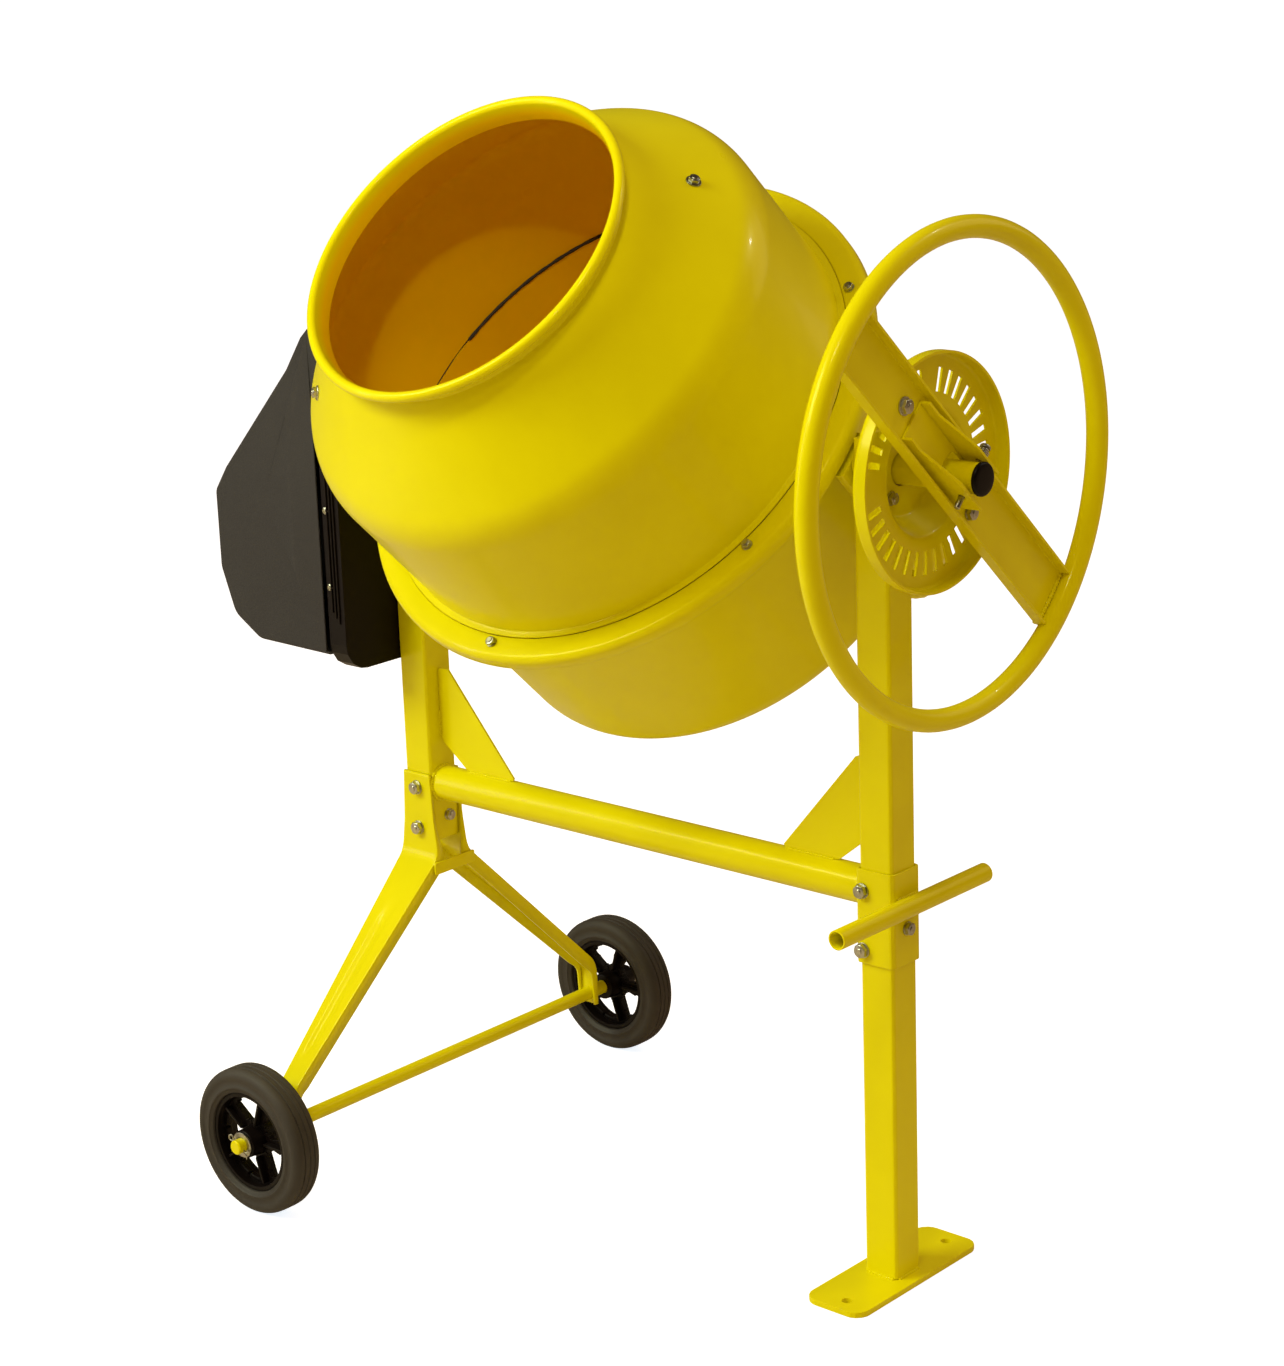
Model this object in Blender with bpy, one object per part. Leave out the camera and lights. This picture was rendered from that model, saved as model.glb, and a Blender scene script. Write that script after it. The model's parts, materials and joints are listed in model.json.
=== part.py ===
"""Tilting-drum concrete mixer on a wheeled stand, built as separate named pieces.

Metres, +Z up. X runs along the tilt axis, from the drive housing (-X) to the handwheel (+X).
The mouth leans towards -Y. The origin is on the ground, under the middle of the whole machine's box.
Pieces that tilt are modelled in the cradle frame, whose Z is the drum's axis and whose X is the tilt axis.
"""
from math import cos, pi, radians, sin, sqrt, tan

import bmesh
import bpy
import numpy as np
from mathutils import Matrix, Vector

# ---------------------------------------------------------------- driving dimensions
MM = 0.001
GAP = 0.3 * MM                      # clearance between touching pieces

AXIS_HEIGHT = 0.840                 # tilt axis above the ground
POST_SPACING = 0.637                # post centre to post centre, along X
POST = 0.040                        # square post, outside
POST_WALL = 0.0025
POST_TOP = 0.868
POST_X = POST_SPACING / 2
HALF_POST = POST / 2

TILT = radians(46.5)                # lean of the drum axis from upright, at rest
DRUM_RADIUS = 0.257
DRUM_WALL = 0.0025
DRUM_BOTTOM = -0.195                # along the drum axis, from the tilt axis
BOTTOM_ROUNDING = 0.025
SHOULDER = 0.200                    # where the upper wall meets the cone
SHOULDER_ROUNDING = 0.055
NECK_RADIUS = 0.166
NECK_START = 0.297
RIM_HEIGHT = 0.314
RIM_RADIUS = 0.172
RIM_BEAD = 0.0055

MODULE = 0.0050                     # gear module
PINION_TEETH = 9
RING_TEETH = 108
PITCH_HEIGHT = PINION_TEETH * MODULE / 2        # ring's pitch plane above the tilt axis
RING_PITCH_RADIUS = RING_TEETH * MODULE / 2

TRUNNION_RADIUS = 0.015
SHAFT_RADIUS = 0.006
BIG_PULLEY_RADIUS = 0.085
SMALL_PULLEY_RADIUS = 0.014
PULLEY_X = -0.358
MOTOR_HEIGHT = 0.660

ARM_X = 0.2865                      # centre of the cradle arm's upright legs
ARM_THICKNESS = 0.013
ARM_WIDTH = 0.050
ARM_TOP = 0.014
ARM_BOTTOM = -0.217
ARM_BEND = 0.050

DISC_X = 0.370                      # slotted face of the locking disc
DISC_RADIUS = 0.115
SLOT_RADIUS = 0.087
SLOT_PITCH = radians(10.0)

WHEEL_X = 0.409                     # plane of the handwheel ring
WHEEL_RADIUS = 0.230
WHEEL_TUBE = 0.011
PIN_X = 0.421                       # pivot pin of the handwheel
SPOKE_WIDTH = 0.062
SPOKE_WEB_X = 0.400
EAR_HEIGHT = 0.030                  # folded ears beside the pivot pin

TUBE_HEIGHT = 0.415                 # connecting tube
TUBE_RADIUS = 0.0195
GUSSET_TOP = 0.547
SLEEVE_LOW, SLEEVE_HIGH = 0.342, 0.440
SLEEVE_HALF = 0.023
HANDLE_RADIUS = 0.010
HANDLE_LENGTH = 0.243
HANDLE_HEIGHT = 0.407
FOOT_SIZE = (0.072, 0.206, 0.006)
FOOT_CORNER = 0.016
ANCHOR_HOLE = 0.011
ANCHOR_Y = 0.084                    # ground anchor holes, from the middle of the foot plate

TYRE_RADIUS = 0.082
TYRE_WIDTH = 0.036
WHEEL_Y = 0.288                     # middle of each road wheel
AXLE_RADIUS = 0.008
LEG_PLATE = 0.003

HOUSING_OUTER = 0.540               # reach of the drive housing, from the middle of the posts
HOUSING_FRONT = 0.097               # half depth of the drive housing, along Y
HOUSING_TOP = 0.940
HOUSING_LOW = 0.556
HOUSING_JOINT_X = -0.365
HOUSING_WALL = 0.003

TRUNNION_END = 0.432
CAP_END = 0.4375                    # end of the axle cap
AXLE_END = 0.322                    # half length of the wheel axle
RIM_FRONT = RIM_HEIGHT * sin(TILT) + RIM_RADIUS * cos(TILT) + RIM_BEAD
MACHINE_X = (HOUSING_OUTER - CAP_END) / 2       # puts the origin under the middle of the machine's box
MACHINE_Y = (RIM_FRONT - AXLE_END) / 2

# ---------------------------------------------------------------- finishes
FINISHES = {
    "yellow_paint": ((0.78, 0.62, 0.01), 0.28, 0.0),
    "zinc_plate": ((0.62, 0.60, 0.50), 0.35, 1.0),
    "cast_iron": ((0.16, 0.15, 0.14), 0.60, 0.8),
    "bright_steel": ((0.55, 0.55, 0.56), 0.30, 1.0),
    "black_rubber": ((0.025, 0.023, 0.022), 0.75, 0.0),
    "black_plastic": ((0.020, 0.019, 0.019), 0.50, 0.0),
    "grey_plastic": ((0.045, 0.040, 0.037), 0.62, 0.0),
    "bearing_bronze": ((0.45, 0.30, 0.12), 0.40, 1.0),
    "start_green": ((0.02, 0.30, 0.06), 0.40, 0.0),
    "stop_red": ((0.50, 0.02, 0.015), 0.40, 0.0),
}


def clear_scene():
    """Remove what the new file starts with."""
    for obj in list(bpy.data.objects):
        bpy.data.objects.remove(obj, do_unlink=True)


def finish(name):
    """A Principled material from the table of finishes, made once."""
    material = bpy.data.materials.get(name)
    if material is None:
        colour, roughness, metallic = FINISHES[name]
        material = bpy.data.materials.new(name)
        material.use_nodes = True
        shader = material.node_tree.nodes["Principled BSDF"]
        shader.inputs["Base Color"].default_value = (*colour, 1.0)
        shader.inputs["Roughness"].default_value = roughness
        shader.inputs["Metallic"].default_value = metallic
        material.diffuse_color = (*colour, 1.0)
    return material


def frame_empty(name, parent=None, location=(0, 0, 0), rotation=(0, 0, 0)):
    """An empty that carries pieces."""
    carrier = parent or bpy.data.objects.get("machine_frame")
    empty = bpy.data.objects.new(name, None)
    bpy.context.collection.objects.link(empty)
    empty.parent = carrier
    empty.location = location
    empty.rotation_euler = rotation
    return empty


def add_piece(name, solid, finish_name, parent=None, location=(0, 0, 0), rotation=(0, 0, 0), sharp=35):
    """Make one object from (vertices, faces)."""
    vertices, faces = solid
    mesh = bpy.data.meshes.new(name)
    mesh.from_pydata([tuple(v) for v in vertices], [], faces)
    work = bmesh.new()
    work.from_mesh(mesh)
    bmesh.ops.remove_doubles(work, verts=work.verts, dist=1e-7)
    bmesh.ops.recalc_face_normals(work, faces=work.faces)
    work.to_mesh(mesh)
    work.free()
    mesh.shade_smooth()
    mesh.set_sharp_from_angle(angle=radians(sharp))
    mesh.materials.append(finish(finish_name))
    obj = bpy.data.objects.new(name, mesh)
    bpy.context.collection.objects.link(obj)
    obj.parent = parent or bpy.data.objects.get("machine_frame")
    obj.location = location
    obj.rotation_euler = rotation
    return obj


def cut(obj, solid, parent=None, location=(0, 0, 0), rotation=(0, 0, 0)):
    """Take a solid away from an object, with a hidden cutter."""
    cutter = add_piece("cut_" + obj.name, solid, "bright_steel", parent, location, rotation)
    cutter.hide_render = True
    cutter.display_type = "WIRE"
    modifier = obj.modifiers.new("cut", "BOOLEAN")
    modifier.operation = "DIFFERENCE"
    modifier.solver = "EXACT"
    modifier.object = cutter


# ---------------------------------------------------------------- solids
def arc(centre_a, centre_b, radius, start, end, steps):
    """Points of an arc, angles in degrees, ends included."""
    angles = np.radians(np.linspace(start, end, steps + 1))
    return [(centre_a + radius * cos(a), centre_b + radius * sin(a)) for a in angles]


def turned(profile, steps=32):
    """Turn a closed profile of (radius, height) about Z; points on the axis become poles."""
    profile = np.array(profile, float)
    turn = np.linspace(0, 2 * pi, steps, endpoint=False)
    rings = np.stack([profile[:, 0:1] * np.cos(turn), profile[:, 0:1] * np.sin(turn),
                      np.repeat(profile[:, 1:2], steps, 1)], axis=-1)
    count = len(profile)
    on_axis = profile[0, 0] == 0
    faces = []
    for i in range(count - 1 if on_axis else count):
        j = (i + 1) % count
        for k in range(steps):
            m = (k + 1) % steps
            faces.append((i * steps + k, i * steps + m, j * steps + m, j * steps + k))
    return rings.reshape(-1, 3), faces


def pipe(radius, bore, low, high, steps=20):
    """A plain ring or tube along Z."""
    return turned([(bore, low), (radius, low), (radius, high), (bore, high)], steps)


def rod(radius, low, high, steps=20):
    """A plain round bar along Z."""
    return turned([(0, low), (radius, low), (radius, high), (0, high)], steps)


def prism(outline, low, high):
    """An outline of (x, y) points raised from low to high along Z."""
    n = len(outline)
    vertices = [(a, b, z) for z in (low, high) for a, b in outline]
    faces = [tuple(range(n))[::-1], tuple(range(n, 2 * n))]
    faces += [(i, (i + 1) % n, n + (i + 1) % n, n + i) for i in range(n)]
    return vertices, faces


def rounded(corners, radii, steps=3):
    """An outline whose corners are rounded by arcs of their own radius."""
    points = []
    n = len(corners)
    for i, corner in enumerate(corners):
        here, before, after = (Vector(corners[k]) for k in (i, i - 1, (i + 1) % n))
        radius = radii[i] if isinstance(radii, (list, tuple)) else radii
        to_before, to_after = (before - here).normalized(), (after - here).normalized()
        half = to_before.angle(to_after) / 2
        reach = radius / tan(half)
        centre = here + (to_before + to_after).normalized() * (radius / sin(half))
        start, end = here + to_before * reach - centre, here + to_after * reach - centre
        for k in range(steps + 1):
            spoke = start.lerp(end, k / steps).normalized() * radius
            points.append(tuple(centre + spoke))
    return points


def rounded_box(width, depth, radius, steps=3, centre=(0, 0)):
    """A rectangle with rounded corners, as an outline."""
    a, b = width / 2, depth / 2
    corners = [(centre[0] + x, centre[1] + y) for x, y in ((-a, -b), (a, -b), (a, b), (-a, b))]
    return rounded(corners, radius, steps)


def hollow_prism(outer, inner, low, high):
    """A tube whose two outlines have the same number of points."""
    n = len(outer)
    vertices = [(a, b, z) for z in (low, high) for ring in (outer, inner) for a, b in ring]
    faces = []
    for i in range(n):
        j = (i + 1) % n
        faces += [(i, j, 2 * n + j, 2 * n + i), (n + j, n + i, 3 * n + i, 3 * n + j),
                  (j, i, n + i, n + j), (2 * n + i, 2 * n + j, 3 * n + j, 3 * n + i)]
    return vertices, faces


def swept(path, sections, side):
    """Carry a section of (across, outward) points along a flat path; side is the path's plane normal."""
    path = [Vector(p) for p in path]
    side = Vector(side).normalized()
    rings, faces = [], []
    for i, point in enumerate(path):
        before, after = path[max(i - 1, 0)], path[min(i + 1, len(path) - 1)]
        outward = (after - before).normalized().cross(side)
        rings += [point + side * a + outward * b for a, b in sections[i]]
    n = len(sections[0])
    for i in range(len(path) - 1):
        for k in range(n):
            m = (k + 1) % n
            faces.append((i * n + k, i * n + m, (i + 1) * n + m, (i + 1) * n + k))
    last = (len(path) - 1) * n
    faces += [tuple(range(n))[::-1], tuple(range(last, last + n))]
    return rings, faces


def merged(*solids):
    """Several solids in one cutter."""
    vertices, faces = [], []
    for part_vertices, part_faces in solids:
        faces += [tuple(i + len(vertices) for i in face) for face in part_faces]
        vertices += [tuple(v) for v in part_vertices]
    return vertices, faces


def moved(solid, matrix):
    """A solid placed by a matrix."""
    vertices, faces = solid
    return [tuple(matrix @ Vector(v)) for v in vertices], faces


ALONG_X = (0, pi / 2, 0)            # turns local Z to +X
ALONG_Y = (-pi / 2, 0, 0)           # turns local Z to +Y


# ---------------------------------------------------------------- stand
def square_post(name, x, low, high, bore=None):
    outer = rounded_box(POST, POST, 4 * MM)
    inner = rounded_box(POST - 2 * POST_WALL, POST - 2 * POST_WALL, 1.5 * MM)
    post = add_piece(name, hollow_prism(outer, inner, low, high), "yellow_paint", None, (x, 0, 0))
    if bore:
        cut(post, rod(bore, -POST, POST), None, (x, 0, AXIS_HEIGHT), ALONG_X)
    return post


def build_posts():
    bore = TRUNNION_RADIUS + 2.1 * MM
    square_post("left_post", -POST_X, 0.350, POST_TOP, bore)
    square_post("right_post", POST_X, 0.392, POST_TOP, bore)
    square_post("right_leg", POST_X, FOOT_SIZE[2] + GAP, 0.392 - GAP)
    sleeve = 2 * SLEEVE_HALF
    bore_side = POST + 2 * GAP
    add_piece("post_sleeve", hollow_prism(rounded_box(sleeve, sleeve, 5 * MM),
                                          rounded_box(bore_side, bore_side, 3 * MM),
                                          SLEEVE_LOW, SLEEVE_HIGH), "yellow_paint", None, (POST_X, 0, 0))
    for side, name in ((-1, "left_tilt_bush"), (1, "right_tilt_bush")):
        ring = pipe(TRUNNION_RADIUS + 1.8 * MM, TRUNNION_RADIUS + GAP, -HALF_POST, HALF_POST)
        add_piece(name, ring, "bearing_bronze", None, (side * POST_X, 0, AXIS_HEIGHT), ALONG_X)


def build_foot_and_handle():
    width, length, thick = FOOT_SIZE
    outline = rounded_box(width, length, FOOT_CORNER, 5)
    foot = add_piece("foot_plate", prism(outline, 0, thick), "yellow_paint", None, (POST_X, 0, 0))
    drill = rod(ANCHOR_HOLE / 2, -thick, 2 * thick, 16)
    holes = [moved(drill, Matrix.Translation((6 * MM, side * ANCHOR_Y, 0))) for side in (-1, 1)]
    cut(foot, merged(*holes), None, (POST_X, 0, 0))
    handle_x = POST_X + SLEEVE_HALF + HANDLE_RADIUS + GAP
    add_piece("transport_handle", pipe(HANDLE_RADIUS, 8 * MM, -HANDLE_LENGTH / 2, HANDLE_LENGTH / 2),
              "yellow_paint", None, (handle_x, -4 * MM, HANDLE_HEIGHT), ALONG_Y)


def build_crossbar():
    low, high = -POST_X + HALF_POST + GAP, POST_X - SLEEVE_HALF - GAP
    add_piece("connecting_tube", pipe(TUBE_RADIUS, 17 * MM, low, high, 24), "yellow_paint",
              None, (0, 0, TUBE_HEIGHT), ALONG_X)
    lift = TUBE_HEIGHT + TUBE_RADIUS + GAP
    for side, name in ((-1, "left_gusset"), (1, "right_gusset")):
        post_face = POST_X - HALF_POST - GAP
        inner_face = POST_X - SLEEVE_HALF - GAP
        corners = [(post_face, GUSSET_TOP), (post_face, 0.466), (0.259, lift), (0.186, lift),
                   (post_face - 0.016, GUSSET_TOP)]
        if side > 0:
            corners = [(x if z > SLEEVE_HIGH else min(x, inner_face), z) for x, z in corners]
        plate = prism(rounded(corners, 2 * MM, 1), -1.5 * MM, 1.5 * MM)
        place = Matrix(((side, 0, 0, 0), (0, 0, side, 0), (0, 1, 0, 0), (0, 0, 0, 1)))
        add_piece(name, moved(plate, place), "yellow_paint")


def leg_section(width, depth):
    """A channel: web outward, two flanges inward."""
    half, wall = width / 2, LEG_PLATE
    return [(-half, 0), (half, 0), (half, -depth), (half - wall, -depth),
            (half - wall, -wall), (-half + wall, -wall), (-half + wall, -depth), (-half, -depth)]


def build_wheel_legs():
    face = HALF_POST + GAP + LEG_PLATE
    lip, flange = LEG_PLATE + 0.2 * MM, 15 * MM
    stations = [((-face, 0.428), 0.040, lip), ((-face, 0.372), 0.046, lip), ((-face, 0.341), 0.055, 8 * MM),
                ((-face - 3 * MM, 0.331), 0.056, flange), ((-0.238, 0.130), 0.027, flange),
                ((-0.243, 0.121), 0.026, 12 * MM), ((-0.245, 0.110), 0.026, 8 * MM),
                ((-0.245, 0.070), 0.026, 6 * MM)]       # (y, z), width and flange depth, from the post down
    for side, name in ((1, "front_wheel_leg"), (-1, "back_wheel_leg")):
        path = [(-POST_X, side * y, z) for (y, z), _, _ in stations]
        sections = [leg_section(width, depth) for _, width, depth in stations]
        leg = add_piece(name, swept(path, sections, (side, 0, 0)), "yellow_paint")
        axle = rod(AXLE_RADIUS + GAP, -0.02, 0.02, 20)
        cut(leg, axle, None, (-POST_X, -side * 0.244, TYRE_RADIUS), ALONG_Y)


def build_road_wheels():
    add_piece("wheel_axle", rod(AXLE_RADIUS, -AXLE_END, AXLE_END), "yellow_paint", None,
              (-POST_X, 0, TYRE_RADIUS), ALONG_Y)
    half = TYRE_WIDTH / 2
    bead = 0.0560
    tyre = [(bead, -half + 3 * MM), (bead + 4 * MM, -half), (TYRE_RADIUS - 9 * MM, -half)]
    tyre += [(r, -y) for r, y in arc(TYRE_RADIUS - 9 * MM, half - 9 * MM, 9 * MM, 60, 0, 2)]
    tyre += [(r, y) for r, y in arc(TYRE_RADIUS - 9 * MM, half - 9 * MM, 9 * MM, 0, 90, 3)]
    tyre += [(bead + 4 * MM, half), (bead, half - 3 * MM)]
    rim, boss = bead - GAP, AXLE_RADIUS + 9 * MM
    hub = [(AXLE_RADIUS + GAP, -22 * MM), (boss, -22 * MM), (boss, -4 * MM), (rim - 5 * MM, -4 * MM),
           (rim - 5 * MM, -14 * MM), (rim, -14 * MM), (rim, 14 * MM), (rim - 5 * MM, 14 * MM),
           (rim - 5 * MM, 4 * MM), (boss, 4 * MM), (boss, 22 * MM), (AXLE_RADIUS + GAP, 22 * MM)]
    for side, name in ((-1, "front"), (1, "back")):
        place = (-POST_X, side * WHEEL_Y, TYRE_RADIUS)
        add_piece(name + "_tyre", turned(tyre, 24), "black_rubber", None, place, ALONG_Y)
        wheel = add_piece(name + "_hub", turned(hub, 24), "black_plastic", None, place, ALONG_Y)
        windows = []
        for k in range(5):
            corners = arc(0, 0, 23 * MM, -22, 22, 1) + arc(0, 0, 46 * MM, 26, -26, 2)
            turn = Matrix.Rotation(2 * pi * k / 5 + 0.3, 4, "Z")
            windows.append(moved(prism(corners, -0.01, 0.01), turn))
        cut(wheel, merged(*windows), None, place, ALONG_Y)


def build_locking_disc():
    thick = 3 * MM
    rear = DISC_X - thick / 2
    seat = POST_X + HALF_POST + GAP
    bore = TRUNNION_RADIUS + 1.5 * MM
    bowl, boss, lip = 0.064, 0.046, 14 * MM
    front = rear + thick
    edge, inner_edge = DISC_RADIUS, DISC_RADIUS - thick
    profile = [(bore, seat), (boss, seat), (bowl, rear), (edge - 4 * MM, rear), (edge, rear + 4 * MM),
               (edge, front + lip), (inner_edge, front + lip), (inner_edge, front + 2 * MM),
               (edge - 5 * MM, front), (bowl - 1 * MM, front), (boss - 1 * MM, seat + thick),
               (bore, seat + thick)]
    disc = add_piece("locking_disc", turned(profile), "yellow_paint", None, (0, 0, AXIS_HEIGHT), ALONG_X)
    # seen from +X after ALONG_X, local X points down and local Y to +Y
    engaged = pi + TILT             # the slot in line with the drum axis, from local X
    corners = [(x * 11.5 * MM, y * 3.2 * MM) for x, y in ((-1, -1), (1, -1), (1, 1), (-1, 1))]
    slots = []
    for k in range(36):
        if k in (4, 5, 31):
            continue
        slot = prism([(SLOT_RADIUS + a, b) for a, b in corners], rear - 5 * MM, front + 5 * MM)
        slots.append(moved(slot, Matrix.Rotation(engaged + k * SLOT_PITCH, 4, "Z")))
    cut(disc, merged(*slots), None, (0, 0, AXIS_HEIGHT), ALONG_X)


def bolt(name, place, rotation):
    """A hexagon-headed bolt, its head on the face that Z leaves from."""
    head, height = 6.5 * MM, 5 * MM
    profile = [(0, GAP), (head, GAP), (head, height), (head - 1 * MM, height + 1 * MM), (0, height + 1 * MM)]
    return add_piece(name, turned(profile, 6), "zinc_plate", None, place, rotation, 20)


def build_frame_bolts():
    front, outward = (pi / 2, 0, 0), ALONG_X
    sleeve = SLEEVE_HALF
    bolt("frame_bolt_1", (POST_X - 14 * MM, -sleeve, 0.418), front)
    bolt("frame_bolt_2", (POST_X - 14 * MM, -sleeve, 0.356), front)
    bolt("frame_bolt_3", (POST_X + sleeve, 0, 0.380), outward)
    plate = HALF_POST + GAP + LEG_PLATE
    bolt("frame_bolt_4", (-POST_X, -plate, 0.411), front)
    bolt("frame_bolt_5", (-POST_X, -plate, 0.364), front)


# ---------------------------------------------------------------- drive housing and motor
def build_housing():
    half, joint = HOUSING_FRONT, HOUSING_JOINT_X
    post_side = -POST_X - HALF_POST - GAP
    depth = post_side - joint
    wall = HOUSING_WALL
    corners = [(-half, HOUSING_LOW), (half, HOUSING_LOW), (half, HOUSING_TOP), (-half, HOUSING_TOP)]
    radii = [0.030, 0.030, 0.045, 0.045]
    inner_radii = [r - wall for r in radii]
    inside = [(-half + wall, HOUSING_LOW + wall), (half - wall, HOUSING_LOW + wall),
              (half - wall, HOUSING_TOP - wall), (-half + wall, HOUSING_TOP - wall)]
    # outline plane (Y, Z) raised along X
    stand_up = Matrix(((0, 0, 1, 0), (1, 0, 0, 0), (0, 1, 0, 0), (0, 0, 0, 1)))
    shell = moved(prism(rounded(corners, radii, 4), joint, post_side), stand_up)
    inner = add_piece("housing_inner_cover", shell, "black_plastic")
    hollow = prism(rounded(inside, inner_radii, 4), joint - 0.01, post_side - wall)
    hole = rod(TRUNNION_RADIUS + 1.5 * MM, joint, post_side + 0.01)
    hole = moved(hole, Matrix.Translation((0, AXIS_HEIGHT, 0)))
    cut(inner, moved(hollow, stand_up))
    cut(inner, moved(hole, stand_up))

    # the outer cover is a wedge: flat over the pulley, deep over the motor
    base = joint - GAP
    low, high, far = HOUSING_LOW + 0.016, HOUSING_TOP - 2 * MM, -HOUSING_OUTER
    profile = [(base, low), (-0.482, low + 2 * MM), (-0.521, 0.598), (far, 0.650), (far, 0.738),
               (-0.520, 0.766), (-0.410, 0.884), (-0.380, 0.925), (base, high)]
    inside = [(base + 0.01, low + wall), (-0.481, low + 2 * MM + wall), (-0.519, 0.600), (far + wall, 0.651),
              (far + wall, 0.737), (-0.518, 0.764), (-0.4085, 0.881), (-0.379, 0.922), (base, high - wall),
              (base + 0.01, high - wall)]
    across = Matrix(((1, 0, 0, 0), (0, 0, -1, 0), (0, 1, 0, 0), (0, 0, 0, 1)))
    outer = add_piece("housing_outer_cover", moved(prism(profile, -half, half), across), "grey_plastic")
    cut(outer, moved(prism(inside, -half + wall, half - wall), across))


def build_motor():
    start, end = -0.510, -0.378
    can, boss, eye, socket = 0.056, 0.020, SHAFT_RADIUS + GAP, 40 * MM
    profile = [(0, start), (0.030, start), (can - 6 * MM, start + 10 * MM), (can, start + 24 * MM),
               (can, end - 18 * MM), (can - 8 * MM, end - 6 * MM), (boss, end - 5 * MM), (boss, end),
               (eye, end), (eye, end - socket), (0, end - socket)]
    add_piece("motor_body", turned(profile, 24), "cast_iron", None, (0, 0, MOTOR_HEIGHT), ALONG_X)
    shelf, plate, reach, lip = MOTOR_HEIGHT - can - GAP, 4 * MM, -0.480, 0.030
    wall_face = -POST_X - HALF_POST - GAP - HOUSING_WALL - GAP
    bracket = [(wall_face, shelf + lip), (wall_face, shelf - plate), (reach, shelf - plate), (reach, shelf),
               (wall_face - plate, shelf), (wall_face - plate, shelf + lip)]
    across = Matrix(((1, 0, 0, 0), (0, 0, -1, 0), (0, 1, 0, 0), (0, 0, 0, 1)))
    add_piece("motor_mount", moved(prism(bracket, -0.045, 0.045), across), "cast_iron")
    rotor = frame_empty("rotor_frame", None, (0, 0, MOTOR_HEIGHT))
    add_piece("motor_shaft", rod(SHAFT_RADIUS, end - 38 * MM, PULLEY_X + 9 * MM), "bright_steel", rotor,
              rotation=ALONG_X)
    add_piece("motor_pulley", pulley(SMALL_PULLEY_RADIUS, SHAFT_RADIUS + GAP, 16), "bright_steel", rotor,
              (PULLEY_X, 0, 0), ALONG_X)


def pulley(radius, bore, steps):
    """A pulley with a flat belt track between two flanges."""
    track, half, edge = radius - 4 * MM, 7 * MM, 5.4 * MM
    return turned([(bore, -half), (radius, -half), (radius, -edge), (track, -edge + 0.5 * MM),
                   (track, edge - 0.5 * MM), (radius, edge), (radius, half), (bore, half)], steps)


def belt_outline(big, small, drop, steps):
    """The closed line of a belt round two pulleys, the small one straight below the big one."""
    lean = np.arcsin((big - small) / drop)
    upper = np.linspace(-lean, pi + lean, steps)
    lower = np.linspace(pi + lean, 2 * pi - lean, 8)
    points = [(big * cos(a), big * sin(a)) for a in upper]
    return points + [(small * cos(a), small * sin(a) - drop) for a in lower]


def build_belt():
    drop = AXIS_HEIGHT - MOTOR_HEIGHT
    slack, thick = 0.8 * MM, 3.5 * MM
    big, small = BIG_PULLEY_RADIUS - 4 * MM + slack, SMALL_PULLEY_RADIUS - 4 * MM + slack
    inner = belt_outline(big, small, drop, 28)
    outer = belt_outline(big + thick, small + thick, drop, 28)
    stand_up = Matrix(((0, 0, 1, PULLEY_X), (1, 0, 0, 0), (0, 1, 0, AXIS_HEIGHT), (0, 0, 0, 1)))
    add_piece("drive_belt", moved(hollow_prism(outer, inner, -4 * MM, 4 * MM), stand_up), "black_rubber")


def build_switch():
    back = HOUSING_FRONT + GAP
    centre_x, centre_z = -0.450, 0.700
    side_plane = Matrix(((1, 0, 0, centre_x), (0, 0, 1, back), (0, 1, 0, centre_z), (0, 0, 0, 1)))
    box = add_piece("switch_box", moved(prism(rounded_box(0.060, 0.084, 8 * MM), 0, 0.022), side_plane),
                    "black_plastic")
    wells = []
    for lift in (-0.019, 0.019):
        wells.append(moved(rod(11 * MM, 0.008, 0.030, 20), Matrix.Translation((0, lift, 0))))
    cut(box, moved(merged(*wells), side_plane))
    for lift, name, colour in ((0.019, "start_button", "start_green"), (-0.019, "stop_button", "stop_red")):
        cap = [(0, 0), (10.5 * MM, 0), (10.5 * MM, 13 * MM), (9 * MM, 15 * MM), (0, 15 * MM)]
        add_piece(name, turned(cap, 20), colour, None, (centre_x, back + 12 * MM, centre_z + lift), ALONG_Y)
    well = prism(rounded_box(0.036, 0.014, 4 * MM), -0.012, 0.012)
    cut(box, moved(well, Matrix(((1, 0, 0, centre_x), (0, 1, 0, back + 0.011), (0, 0, 1, centre_z - 0.042),
                                 (0, 0, 0, 1)))))


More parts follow.
